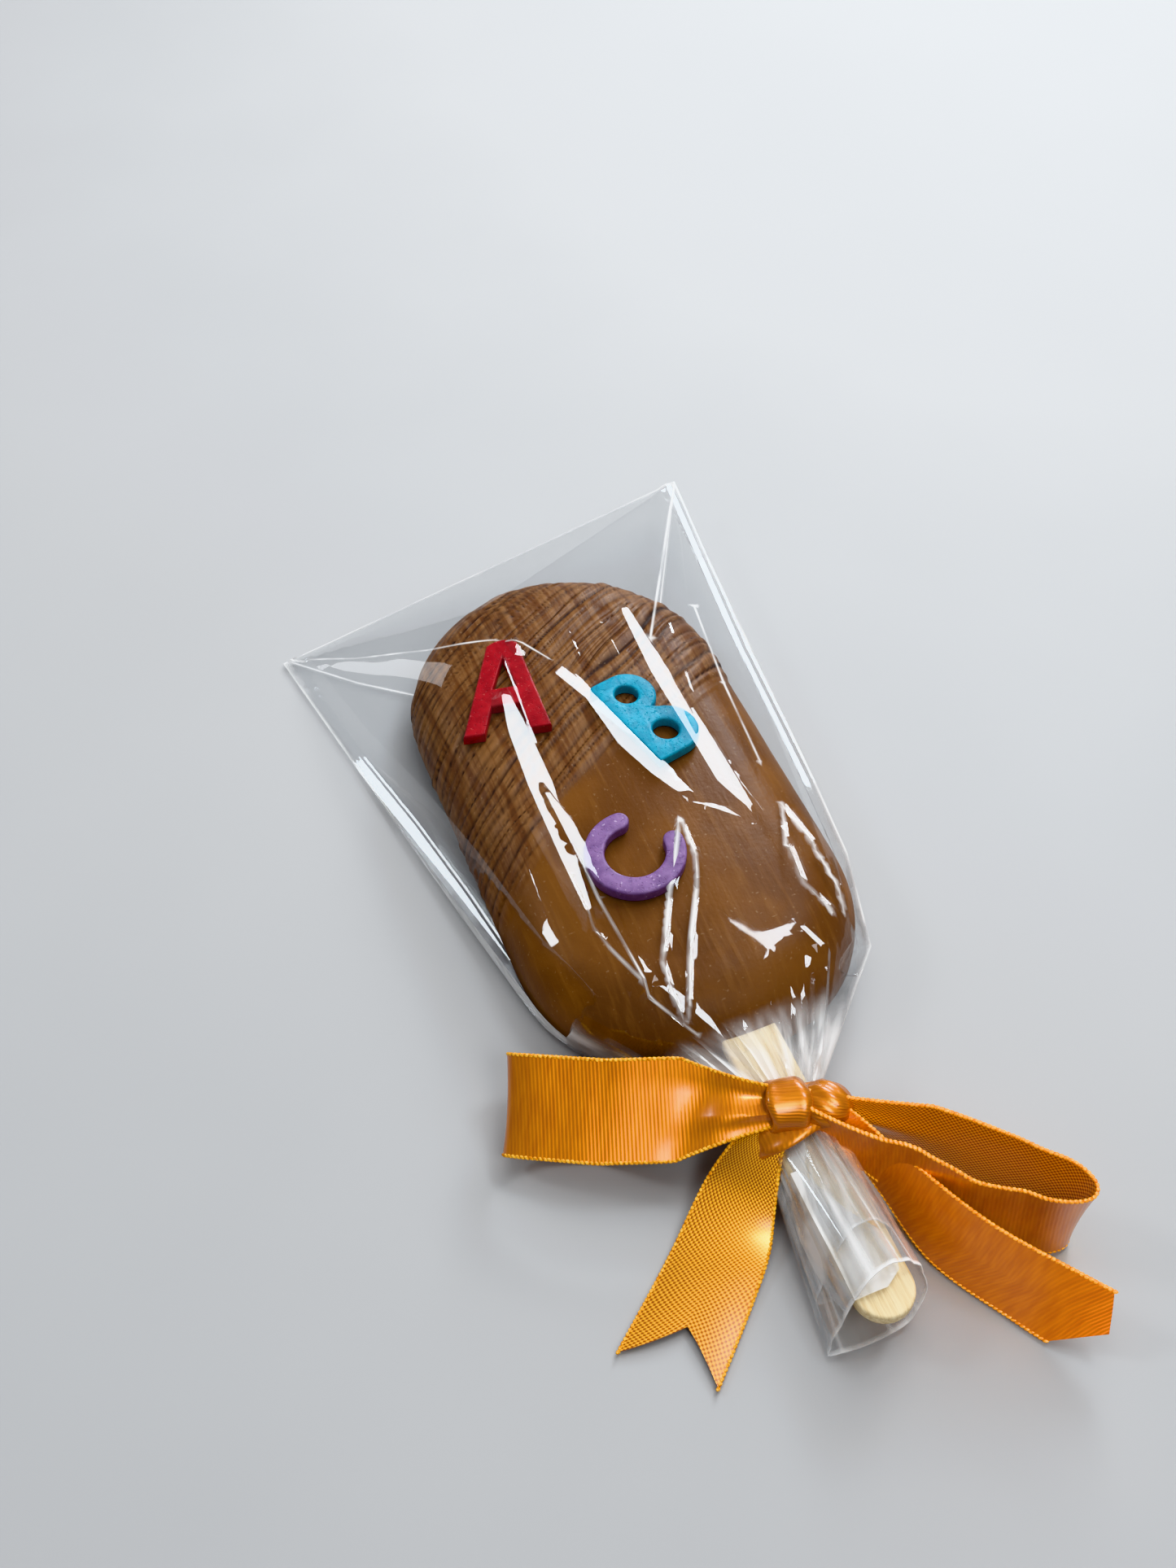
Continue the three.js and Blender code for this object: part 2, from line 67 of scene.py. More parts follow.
# %% [markdown]
# ## The camera
#
# The photograph looks down from the stick's side, a little from the left. Its distance, angle and
# focal length were worked out from the bag's outline and the letters, so the picture has the same
# perspective. An upright picture measures its focal length along its height.

# %% Camera
PHOTO_HEIGHT = 1927
FOCAL_PIXELS = 2000
SENSOR = 36
VIEW_TURN = math.radians(-21.8)
VIEW_RISE = math.radians(51.1)
VIEW_DISTANCE = 240.4
VIEW_TARGET = Vector((-5.3, 0.2, 12.0))


def direction(turn, rise):
    """Unit vector from the object outwards. Turn 0 is towards the stick, and rises to +X."""
    return Vector((math.sin(turn) * math.cos(rise), -math.cos(turn) * math.cos(rise), math.sin(rise)))


camera = bpy.data.objects.new("camera", bpy.data.cameras.new("camera"))
camera.data.sensor_width = SENSOR
camera.data.lens = FOCAL_PIXELS / PHOTO_HEIGHT * SENSOR
camera.data.clip_start = 0.01
to_camera = direction(VIEW_TURN, VIEW_RISE)
camera.location = (VIEW_TARGET + to_camera * VIEW_DISTANCE) * MM
camera.rotation_euler = to_camera.to_track_quat("Z", "Y").to_euler()
bpy.context.scene.collection.objects.link(camera)
bpy.context.scene.camera = camera
print("camera at, mm:", [round(v / MM) for v in camera.location], "lens", round(camera.data.lens, 2))

# %% The lights that the film mirrors
# Each one's turn from the far side towards +X and its rise, in degrees, and its size in millimetres.
WINDOW = {"turn": 46, "rise": 33, "size": 132}
LOW_WINDOW = {"turn": 38, "rise": 24, "size": 120}
HIGH_WINDOW = {"turn": 82, "rise": 62, "size": 125}
SIDE_WINDOW = {"turn": -57, "rise": 42, "size": 100}
WINDOW_DISTANCE = 600
FILM_HEIGHT = 16.0  # about where the film lies over the bar


def light_direction(turn, rise):
    """Unit vector towards a light, from its turn and its rise in degrees."""
    return direction(math.radians(180 - turn), math.radians(rise))


def mirror_slopes(x, y, light):
    """How fast film over (x, y) must rise along X and along Y to show a light to the camera."""
    here = np.column_stack([x, y, np.full(len(x), FILM_HEIGHT)])
    to_eye = np.array(camera.location) / MM - here
    to_light = np.array(light_direction(light["turn"], light["rise"])) * WINDOW_DISTANCE - here
    half = to_eye / np.linalg.norm(to_eye, axis=1)[:, None]
    half += to_light / np.linalg.norm(to_light, axis=1)[:, None]
    return -half[:, 0] / half[:, 2], -half[:, 1] / half[:, 2]


for light in (WINDOW, LOW_WINDOW, HIGH_WINDOW, SIDE_WINDOW):
    slopes = mirror_slopes([0.0], [0.0], light)
    print("slopes over the bar's middle:", [round(float(slope[0]), 3) for slope in slopes])

# %% [markdown]
# ## Arithmetic with sockets
#
# A material is a chain of small sums. Wiring Math nodes by hand hides the sum, so one class wraps
# a socket and turns Python's operators into Math nodes. Every other node comes from `add`, which
# sets what the node is first and then fills its sockets. The same class serves the Geometry Nodes
# trees, because both kinds of tree share these nodes.


# %% The socket class
class Wire:
    """An output socket of a node tree. Operators on it add Math nodes."""

    def __init__(self, tree, socket=None):
        self.tree = tree
        self.socket = socket

    def add(self, kind, settings=(), values=(), output=0):
        """A new node of that type. Settings come first, then its sockets' values or links."""
        node = self.tree.nodes.new(kind)
        for key, value in dict(settings).items():
            setattr(node, key, value)
        for key, value in dict(values).items():
            if isinstance(value, Wire):
                self.tree.links.new(value.socket, node.inputs[key])
            else:
                node.inputs[key].default_value = value
        return Wire(self.tree, node.outputs[output]) if node.outputs else node

    def math(self, operation, *values):
        return self.add("ShaderNodeMath", {"operation": operation}, dict(enumerate(values)))

    def __add__(self, other):
        return self.math("ADD", self, other)

    def __radd__(self, other):
        return self.math("ADD", other, self)

    def __sub__(self, other):
        return self.math("SUBTRACT", self, other)

    def __rsub__(self, other):
        return self.math("SUBTRACT", other, self)

    def __mul__(self, other):
        return self.math("MULTIPLY", self, other)

    def __rmul__(self, other):
        return self.math("MULTIPLY", other, self)

    def __truediv__(self, other):
        return self.math("DIVIDE", self, other)

    def __rtruediv__(self, other):
        return self.math("DIVIDE", other, self)

    def __pow__(self, other):
        return self.math("POWER", self, other)

    def __abs__(self):
        return self.math("ABSOLUTE", self)

    def clamped(self, low=0, high=1):
        return self.add("ShaderNodeClamp", {}, {"Value": self, "Min": low, "Max": high})

    def smooth(self, low, high):
        """0 below low, 1 above high and a soft step between them."""
        values = {"Value": self, "From Min": low, "From Max": high}
        return self.add("ShaderNodeMapRange", {"interpolation_type": "SMOOTHSTEP"}, values)

    def parts(self):
        """The x, y and z of a vector."""
        node = self.add("ShaderNodeSeparateXYZ", {}, {0: self}).socket.node
        return [Wire(self.tree, socket) for socket in node.outputs]

    def joined(self, x, y, z=0):
        return self.add("ShaderNodeCombineXYZ", {}, {0: x, 1: y, 2: z})

    def scaled(self, factor):
        """A vector made longer or shorter."""
        return self.add("ShaderNodeVectorMath", {"operation": "SCALE"}, {0: self, "Scale": factor})

    def attribute(self, name):
        """The number that a mesh holds under this name at each of its points."""
        return self.add("ShaderNodeAttribute", {"attribute_name": name}, output="Fac")

    def noise(self, vector, scale, detail=2, roughness=0.5):
        """Noise from 0 to 1. Scale is in waves for each unit of the vector."""
        values = {"Vector": vector, "Scale": scale, "Detail": detail, "Roughness": roughness}
        return self.add("ShaderNodeTexNoise", {}, values)

    def colour(self, factor, a, b):
        """From colour a at 0 to colour b at 1."""
        return self.add("ShaderNodeMix", {"data_type": "RGBA"}, {0: factor, 6: a, 7: b}, 2)


def srgb(red, green, blue):
    """A colour as a picture shows it, from 0 to 255, in the linear values that shaders use."""
    shares = [value / 255 for value in (red, green, blue)]
    return tuple(s / 12.92 if s <= 0.04045 else ((s + 0.055) / 1.055) ** 2.4 for s in shares) + (1,)


def new_material(name, **constants):
    """A material with one Principled shader, its constants set on the shader's own sockets."""
    material = bpy.data.materials.new(name)
    material.use_nodes = True
    shader = material.node_tree.nodes["Principled BSDF"]
    for key, value in constants.items():
        shader.inputs[key.replace("_", " ")].default_value = value
    return material, Wire(material.node_tree), shader


def feed(shader, **wires):
    """Links what changes over a surface into a Principled shader."""
    for key, wire in wires.items():
        wire.tree.links.new(wire.socket, shader.inputs[key.replace("_", " ")])


def bump(wire, height, distance, strength=1):
    values = {"Height": height, "Distance": distance, "Strength": strength}
    return wire.add("ShaderNodeBump", {}, values)


def object_mm(wire):
    """Where a point is on the object, in millimetres."""
    return wire.add("ShaderNodeTexCoord", output="Object").scaled(1 / MM)


# %% [markdown]
# ## From numbers to pieces
#
# Nearly every piece is a grid of points that is bent into shape: rings round a bar, or rows along
# a ribbon. One helper joins the rows with quads, one makes the mesh in metres with its faces
# outwards, and one makes a finished piece of it and puts it on the frame's only body.


# %% Mesh helpers
def grid_faces(rows, columns, closed):
    """Quads between rows of points. Closed rows go round."""
    across = columns if closed else columns - 1
    faces = []
    for row in range(rows - 1):
        for column in range(across):
            a = row * columns + column
            b = row * columns + (column + 1) % columns
            faces.append((a, b, b + columns, a + columns))
    return faces


def ring_faces(rows, columns):
    """Quads between rows that go round, of which the last one joins the first."""
    count = rows * columns
    return [tuple(i % count for i in face) for face in grid_faces(rows + 1, columns, True)]


def make_mesh(name, points, faces, weld=0.0):
    """A mesh in metres from points in millimetres, its doubles merged and its faces outwards."""
    mesh = bpy.data.meshes.new(name)
    mesh.from_pydata((np.asarray(points, float) * MM).tolist(), [], faces)
    form = bmesh.new()
    form.from_mesh(mesh)
    if weld:
        bmesh.ops.remove_doubles(form, verts=form.verts, dist=weld * MM)
        bmesh.ops.dissolve_degenerate(form, edges=form.edges, dist=weld * MM)
    loose = [point for point in form.verts if not point.link_faces]
    bmesh.ops.delete(form, geom=loose, context="VERTS")
    bmesh.ops.recalc_face_normals(form, faces=form.faces)
    form.to_mesh(mesh)
    form.free()
    return mesh


def mesh_points(mesh):
    """A mesh's points in millimetres."""
    return np.array([point.co for point in mesh.vertices]) / MM


def open_edges(mesh):
    """How many edges don't join exactly two faces. A closed piece has none."""
    uses = np.bincount([loop.edge_index for loop in mesh.loops], minlength=len(mesh.edges))
    return int((uses != 2).sum())


def lerp(a, b, share):
    return a + (b - a) * share


def put_attribute(mesh, name, values):
    """One number for each point of a mesh, for a material or a node tree to read."""
    mesh.attributes.new(name, "FLOAT", "POINT").data.foreach_set("value", np.asarray(values, np.float32))


def put_uv(mesh, width, place):
    """A UV map in millimetres. It is given as a function of a point's row and its column."""
    uv = mesh.uv_layers.new(name="UVMap")
    for loop in mesh.loops:
        uv.data[loop.index].uv = place(*divmod(loop.vertex_index, width))


def add_object(name, data):
    thing = bpy.data.objects.new(name, data)
    bpy.context.scene.collection.objects.link(thing)
    return thing


def add_piece(mesh, material, slot, *nodes, crease=40):
    """Makes a finished piece of a mesh, puts it on the body, hides the nodes that it stands for, and prints
    its size.
    """
    mesh.materials.clear()
    mesh.materials.append(material)
    mesh.shade_smooth()
    mesh.set_sharp_from_angle(angle=math.radians(crease))
    piece = add_object(mesh.name, mesh)
    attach(piece, "root")
    if nodes:
        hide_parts(*nodes)
    count = sum(len(face.vertices) - 2 for face in mesh.polygons)
    size = [round(v / MM, 1) for v in piece.dimensions]
    print(piece.name, "triangles:", count, "open edges:", open_edges(mesh), "size, mm:", size)
    return piece


# %% [markdown]
# ## Node trees that make shapes
#
# What repeats is made by Geometry Nodes: the tree holds the rule, and its named inputs hold the
# sizes. The helpers below start a tree with its inputs and end it. The last one sets the inputs on
# a modifier, by each socket's identifier, and turns the result into a plain mesh.


# %% Geometry Nodes helpers
def start_tree(name, *numbers):
    """A tree with a geometry input and output and named numbers. Returns it and its inputs."""
    tree = bpy.data.node_groups.new(name, "GeometryNodeTree")
    tree.interface.new_socket("Geometry", in_out="INPUT", socket_type="NodeSocketGeometry")
    for label in numbers:
        tree.interface.new_socket(label, in_out="INPUT", socket_type="NodeSocketFloat")
    tree.interface.new_socket("Geometry", in_out="OUTPUT", socket_type="NodeSocketGeometry")
    node = tree.nodes.new("NodeGroupInput")
    sockets = {socket.name: Wire(tree, socket) for socket in node.outputs if socket.name}
    return Wire(tree), sockets


def end_tree(wire, geometry, material):
    """The last nodes of every tree: real geometry with a material, and no instances."""
    real = wire.add("GeometryNodeRealizeInstances", {}, {"Geometry": geometry})
    dressed = wire.add("GeometryNodeSetMaterial", {}, {"Geometry": real, "Material": material})
    out = wire.tree.nodes.new("NodeGroupOutput")
    wire.tree.links.new(dressed.socket, out.inputs["Geometry"])


def worked_out(source):
    """A plain mesh of what an object's curve or modifiers come to."""
    graph = bpy.context.evaluated_depsgraph_get()
    return bpy.data.meshes.new_from_object(source.evaluated_get(graph))


def run_tree(name, mesh, wire, sizes):
    """Runs a tree on a mesh and returns the result as a plain mesh."""
    source = add_object(mesh.name, mesh)
    modifier = source.modifiers.new(wire.tree.name, "NODES")
    modifier.node_group = wire.tree
    for item in wire.tree.interface.items_tree:
        if item.item_type == "SOCKET" and item.in_out == "INPUT" and item.name in sizes:
            modifier[item.identifier] = sizes[item.name]
    result = worked_out(source)
    result.name = name
    source.modifiers.remove(modifier)
    bpy.data.objects.remove(source)
    return result


# %% [markdown]
# ## The coated bar: its form
#
# Dipped cake has a flat back, round ends and soft shoulders. The same rule as in the solid gives
# its height: a level middle that crowns by a millimetre, then a quarter of an ellipse down to the
# side. Rings run round the bar, each one a smaller copy of its outline about the middle line.

# %% The bar's rule
cake_low, cake_high = node_box("cake")
BAR_RADIUS = (cake_high[0] - cake_low[0]) / 2
BAR_STRAIGHT = (cake_high[1] - cake_low[1]) / 2 - BAR_RADIUS
BAR_BACK = cake_low[2]
BAR_DEPTH = 14
BAR_TOP = BAR_BACK + BAR_DEPTH
SHOULDER_IN = 11
SHOULDER_DOWN = 9
FOOT = 2
CROWN = 1
FAR_POWER = 2  # 2 is a half circle, and more is squarer
NEAR_POWER = 2.3
OUTLINE_STEPS = 120


def bar_share(x, y):
    """How far a point lies from the middle line, as a share of the way to the side."""
    beyond = np.maximum(np.abs(y) - BAR_STRAIGHT, 0) / BAR_RADIUS
    power = np.where(np.asarray(y) > 0, FAR_POWER, NEAR_POWER)
    return (np.abs(np.asarray(x) / BAR_RADIUS) ** power + beyond**power) ** (1 / power)


def bar_height(share):
    """Height of the bar's top at a share of the way to the side."""
    share = np.asarray(share, float)
    level = BAR_TOP - CROWN * (share / (1 - SHOULDER_IN / BAR_RADIUS)) ** 2
    out = np.clip((SHOULDER_IN - BAR_RADIUS * (1 - share)) / SHOULDER_IN, 0, 1)
    shoulder = BAR_TOP - CROWN - SHOULDER_DOWN * (1 - np.sqrt(1 - out**2))
    return np.where(out > 0, shoulder, level)


def bar_outline(count):
    """Points round the bar, evenly spread, starting at its far tip."""
    angle = np.linspace(0, math.pi / 2, OUTLINE_STEPS)
    far = [(BAR_RADIUS * math.sin(a), BAR_STRAIGHT + BAR_RADIUS * math.cos(a)) for a in angle]
    lean = 2 / NEAR_POWER
    near = [
        (BAR_RADIUS * math.cos(a) ** lean, -BAR_STRAIGHT - BAR_RADIUS * math.sin(a) ** lean)
        for a in angle[:-1]
    ]
    near.append((0, -BAR_STRAIGHT - BAR_RADIUS))
    side = far + near
    loop = np.array(side + [(-x, y) for x, y in side[-2::-1]])
    length = np.concatenate([[0], np.cumsum(np.hypot(*np.diff(loop, axis=0).T))])
    at = np.linspace(0, length[-1], count, endpoint=False)
    return np.column_stack([np.interp(at, length, loop[:, 0]), np.interp(at, length, loop[:, 1])])


# %% The bar's rings
BAR_COLUMNS = 620
BACK_RINGS = (0, 0.3, 0.6, 0.85)
TOP_RINGS = 64
SHOULDER_RINGS = 38
SIDE_RINGS = 6
FOOT_RINGS = 5


def bar_levels():
    """Each ring's share of the outline and its height, from the back's middle to the top's."""
    levels = [(share, BAR_BACK) for share in BACK_RINGS]
    for angle in np.linspace(0, math.pi / 2, FOOT_RINGS):
        share = 1 - FOOT * (1 - math.sin(angle)) / BAR_RADIUS
        levels.append((share, BAR_BACK + FOOT * (1 - math.cos(angle))))
    for height in np.linspace(BAR_BACK + FOOT, float(bar_height(1)), SIDE_RINGS)[1:]:
        levels.append((1, height))
    for angle in np.linspace(0, math.pi / 2, SHOULDER_RINGS)[1:]:
        share = 1 - SHOULDER_IN * (1 - math.cos(angle)) / BAR_RADIUS
        levels.append((share, float(bar_height(share))))
    for share in np.linspace(1 - SHOULDER_IN / BAR_RADIUS, 0, TOP_RINGS)[1:]:
        levels.append((share, float(bar_height(share))))
    return levels


def bar_ring(outline, share, height):
    """A smaller or larger copy of the bar's outline about its middle line."""
    middle = np.clip(outline[:, 1], -BAR_STRAIGHT, BAR_STRAIGHT)
    y = middle + (outline[:, 1] - middle) * share
    return np.column_stack([outline[:, 0] * share, y, np.full(len(outline), height)])


def smooth_bar():
    outline = bar_outline(BAR_COLUMNS)
    rows = [bar_ring(outline, share, height) for share, height in bar_levels()]
    faces = grid_faces(len(rows), BAR_COLUMNS, True)
    return make_mesh("plain_bar", np.concatenate(rows), faces, weld=0.01)


bar_mesh = smooth_bar()
print("bar points:", len(bar_mesh.vertices), "ring width, mm:", round(2 * BAR_RADIUS, 1))

# %% [markdown]
# ## The coating's colour
#
# Milk chocolate is a soft brown that looks far redder on a screen than in the hand, so the brown
# is mixed on the yellow side. The combed half has shade painted into its grooves, a near-black
# brown where they lie deep. Pale specks and faint streaks along the bar come from noise on the
# object's own coordinates, which stay put in any view and need no unwrapping.


# %% Milk chocolate
def milk_chocolate():
    material, wire, shader = new_material("milk_chocolate", Specular_IOR_Level=0.35)
    place = object_mm(wire)
    x, y, z = place.parts()
    groove = wire.attribute("groove")
    combed = wire.attribute("combed")
    cloud = wire.noise(place, 0.09, 3)
    streak = wire.noise(wire.joined(x * 1.1, y * 0.07, z * 0.3), 1.0, 3, 0.6)
    smooth = wire.colour(cloud.smooth(0.35, 0.65), srgb(100, 58, 15), srgb(119, 73, 24))
    smooth = wire.colour(streak.smooth(0.5, 0.72) * 0.4, smooth, srgb(138, 92, 44))
    ridge = wire.colour(streak.smooth(0.35, 0.65), srgb(104, 62, 30), srgb(140, 98, 60))
    # painted shade: the grooves between the threads are darkened towards a near-black brown
    ridge = wire.colour((groove * 1.9).clamped(), ridge, srgb(46, 20, 7))
    colour = wire.colour(combed, smooth, ridge)
    dots = wire.noise(place, 1.9, 1).smooth(0.70, 0.74)
    colour = wire.colour(dots * 0.22, colour, srgb(190, 160, 125))
    rough = 0.36 + cloud * 0.16 + groove * 0.2
    grain = wire.noise(place, 1.6, 3) * 0.5 + streak * 0.5
    feed(shader, Base_Color=colour, Roughness=rough, Normal=bump(wire, grain, 0.12 * MM, 0.7))
    return material


chocolate = milk_chocolate()
print("chocolate nodes:", len(chocolate.node_tree.nodes))

# %% [markdown]
# ## The combed threads
#
# While the coating was soft it was drawn into threads, side by side and a little slanted, over
# the far half of the bar. Each point's distance across the threads says which thread it is on:
# the whole number picks the thread and its strength at random, and the rest places the point on
# the thread's round back. The threads are real relief, so their outline shows at the bar's side.

# %% Where the threads end
THREAD_PITCH = 1.75
THREAD_DEPTH = 0.72
THREAD_TURN = 33
THREAD_SEED = 4
THREAD_EDGE = [(-27, -20), (-20, -16), (-10, -5), (0, 0), (13, 4), (24, 12)]
# Coarse and fine threads: how many to a pitch, their share of the relief, and how far their ends
# are scattered.
THREAD_LAYERS = [(1.0, 0.62, 3.5), (2.3, 0.38, 6.0)]
THREAD_WANDER = 3.2
THREAD_UNEVEN = 3.4
COATING_SINKS = 0.1  # between the threads, so that they don't make the bar thicker

bar_points = mesh_points(bar_mesh)
edge_x, edge_y = np.array(THREAD_EDGE, float).T
past_edge = bar_points[:, 1] - np.interp(bar_points[:, 0], edge_x, edge_y)
put_attribute(bar_mesh, "past_edge", past_edge)
print("share of the bar that is combed:", round(float((past_edge > 0).mean()), 2))


# %% The thread tree
def thread_tree(material):
    wire, given = start_tree("combed_threads", "Pitch", "Depth", "Turn", "Seed")
    place = wire.add("GeometryNodeInputPosition").scaled(1 / MM)
    x, y, z = place.parts()
    turn = given["Turn"] * math.radians(1)
    cos, sin = wire.math("COSINE", turn), wire.math("SINE", turn)
    across = y * cos - x * sin
    along = x * cos + y * sin
    wander = wire.noise(wire.joined(along * 0.05, across * 0.12, given["Seed"]), 1.0, 1) - 0.5
    uneven = wire.noise(wire.joined(across * 0.33, along * 0.025, given["Seed"] + 5), 1.0, 1) - 0.5
    past = wire.add("GeometryNodeInputNamedAttribute", {"data_type": "FLOAT"}, {"Name": "past_edge"})
    top = z.smooth(BAR_BACK + FOOT, BAR_BACK + FOOT + 2)
    relief, hollow, cover = 0, 0, 0
    for split, weight, ends in THREAD_LAYERS:
        drawn = across + wander * THREAD_WANDER + uneven * THREAD_UNEVEN
        lane = drawn / given["Pitch"] * split + given["Seed"] * 7.3
        number = wire.math("FLOOR", lane)
        back = wire.math("FRACT", lane) * 2 - 1
        chance = wire.add("ShaderNodeTexWhiteNoise", {"noise_dimensions": "1D"}, {"W": number})
        reach = wire.add("ShaderNodeTexWhiteNoise", {"noise_dimensions": "1D"}, {"W": number + 0.5})
        shown = (past - reach * ends).smooth(-1.2, 1.2) * top
        round_back = (1 - back * back) ** 0.6
        relief = relief + round_back * (chance * 0.75 + 0.25) * shown * weight
        # hollow is how deep a point lies between threads; the chocolate's material paints shade there
        hollow = hollow + (1 - round_back) ** 1.5 * shown * (chance * 0.7 + 0.3) * weight * 1.4
        cover = cover + shown * weight
    lump = (wire.noise(place, 0.11, 2) - 0.5) * 0.5
    height = (relief * given["Depth"] - COATING_SINKS + lump * 0.5 * top) * MM
    offset = wire.add("GeometryNodeInputNormal").scaled(height)
    shape = wire.add("GeometryNodeSetPosition", {}, {"Geometry": given["Geometry"], "Offset": offset})
    settings = {"data_type": "FLOAT", "domain": "POINT"}
    for label, value in (("groove", hollow), ("combed", cover)):
        values = {"Geometry": shape, "Name": label, "Value": value}
        shape = wire.add("GeometryNodeStoreNamedAttribute", settings, values)
    end_tree(wire, shape, material)
    return wire


thread_sizes = {
    "Pitch": THREAD_PITCH,
    "Depth": THREAD_DEPTH,
    "Turn": float(THREAD_TURN),
    "Seed": float(THREAD_SEED),
}
coated_mesh = run_tree("coated_bar", bar_mesh, thread_tree(chocolate), thread_sizes)
add_piece(coated_mesh, chocolate, "coating", "cake", crease=75)

# %% [markdown]
# ## Flat pieces with soft edges
#
# The stick and the three letters are cut from flat sheets: a stick stamped from wood, and letters
# pressed from icing. A flat curve with depth and bevel makes all four. Its holes are more closed
# loops in the same curve. The result is turned into a mesh before it is laid in its place.


# %% Loops for flat curves
def arc(x, y, radius, start, end, steps=18):
    """Points on part of a circle, with its angles in radians."""
    return [(x + radius * math.cos(a), y + radius * math.sin(a)) for a in np.linspace(start, end, steps)]


def flat_piece(name, loops, thickness, bevel):
    """A mesh in millimetres of a sheet with the loops' outline, its middle on z = 0."""
    curve = bpy.data.curves.new(name, "CURVE")
    curve.dimensions = "2D"
    curve.fill_mode = "BOTH"
    curve.extrude = thickness / 2 - bevel
    curve.bevel_depth = bevel
    curve.bevel_resolution = 3
    curve.offset = -bevel
    for loop in loops:
        spline = curve.splines.new("POLY")
        spline.points.add(len(loop) - 1)
        for point, (x, y) in zip(spline.points, loop):
            point.co = (x, y, 0, 1)
        spline.use_cyclic_u = True
    source = add_object(name, curve)
    mesh = worked_out(source)
    bpy.data.objects.remove(source)
    points = np.array([v.co for v in mesh.vertices])
    faces = [tuple(face.vertices) for face in mesh.polygons]
    bpy.data.meshes.remove(mesh)
    return points, faces


# %% [markdown]
# ## The stick
#
# A plain lolly stick: pale birch with long fine grain, rounded ends and slightly worn edges. Most
# of it is inside the cake and the gathered bag, and its end shows through the film.


# %% Birch and the stick
STICK_BEVEL = 0.45


def birch():
    material, wire, shader = new_material("birch", Roughness=0.62)
    place = object_mm(wire)
    x, y, z = place.parts()
    grain = wire.noise(wire.joined(x * 2.6, y * 0.12, z * 2.0), 1.0, 4, 0.62)
    fibre = wire.noise(wire.joined(x * 9, y * 0.5, z * 6), 1.0, 2)
    colour = wire.colour(grain.smooth(0.3, 0.7), srgb(222, 194, 142), srgb(250, 232, 190))
    colour = wire.colour(fibre.smooth(0.62, 0.75) * 0.4, colour, srgb(178, 138, 80))
    feed(shader, Base_Color=colour, Normal=bump(wire, grain + fibre * 0.4, 0.08 * MM, 0.6))
    return material


def stick_piece():
    low, high = node_box("stick")
    half = (high[0] - low[0]) / 2
    far, near = high[1] - half, low[1] + half
    loop = arc(0, far, half, 0, math.pi) + arc(0, near, half, math.pi, 2 * math.pi)
    points, faces = flat_piece("stick_board", [loop], high[2] - low[2], STICK_BEVEL)
    points[:, 2] += (high[2] + low[2]) / 2
    return make_mesh("stick_board", points, faces, weld=0.005)


add_piece(stick_piece(), birch(), "wood", "stick")

# %% [markdown]
# ## The three letters
#
# They are pressed from coloured icing, two millimetres thick. Each one lies on three spots of the
# coating, which sets its tilt. Icing is matt and a little pitted, and its colour is even all
# through, so the material only adds fine mottling and a few pale crumbs.

# %% Letter outlines
LETTER_THICK = 2
LETTER_BEVEL = 0.4
LETTER_A = {"x": -13.9, "y": 10.8, "turn": -17, "height": 18.4, "foot": 13.2, "top": 4.8, "stroke": 3.3}
LETTER_B = {"x": 4.5, "y": -3.7, "turn": 15.6, "height": 17.6, "width": 9.8, "hole": 2.0}
LETTER_C = {"x": -5.2, "y": -17.2, "turn": 45, "outer": 7.2, "inner": 4.3, "opening": 92}


def curve_through(start, control, end, steps=8):
    """Points on a quadratic curve, as in a font's outline."""
    share = np.linspace(0, 1, steps)[:, None]
    a, b, c = (np.array(p, float) for p in (start, control, end))
    return [tuple(p) for p in a * (1 - share) ** 2 + 2 * b * share * (1 - share) + c * share**2]


def loops_a(height, foot, top, stroke, **_):
    """Two slanting strokes and a bar across, with its feet on y = 0."""
    half, bar = foot / 2, height * 0.28
    inner, bar_half = half - stroke, half - stroke * 1.35
    round_top = 0.9
    outer = [(-half, 0), (-inner, 0), (-bar_half, bar), (bar_half, bar), (inner, 0), (half, 0)]
    left, right = (-top / 2, height - round_top), (top / 2, height - round_top)
    outer += curve_through(right, (0, height + round_top), left)
    hole_half, hole_foot, hole_top = 1.75, height * 0.47, height * 0.8
    return [outer, [(-hole_half, hole_foot), (0, hole_top), (hole_half, hole_foot)]]


def loops_b(height, width, hole, **_):
    """A straight spine upwards from the origin with two round bowls to its right."""
    waist = height * 0.52
    lower, upper = waist / 2, (height - waist) / 2
    lower_x, upper_x = width - lower, width - 1 - upper
    quarter, dent, corner = math.pi / 2, 0.35, 1.2
    outer = [(0, 0)] + arc(lower_x, lower, lower, -quarter, quarter - dent)
    outer += arc(upper_x, waist + upper, upper, -quarter + dent, quarter)
    outer += curve_through((corner, height), (0, height), (0, height - corner), 5)
    holes = [(lower_x - 0.5, lower, hole), (upper_x - 0.4, waist + upper, hole * 0.9)]
    return [outer] + [arc(x, y, r, 2 * math.pi, 0, 25)[:-1] for x, y, r in holes]


def loops_c(outer, inner, opening, **_):
    """An open ring about the origin with round ends."""
    half = math.radians(opening / 2)
    last = 2 * math.pi - half
    middle, tip = (outer + inner) / 2, (outer - inner) / 2

    def round_end(angle, start):
        x, y = middle * math.cos(angle), middle * math.sin(angle)
        return arc(x, y, tip, start, start + math.pi, 12)[1:]

    loop = arc(0, 0, outer, half, last, 48) + round_end(last, last)
    loop += arc(0, 0, inner, last, half, 36)[1:] + round_end(half, half + math.pi)[:-1]
    return [loop]


# %% Laying a letter on the bar
LETTER_REST = 0.3


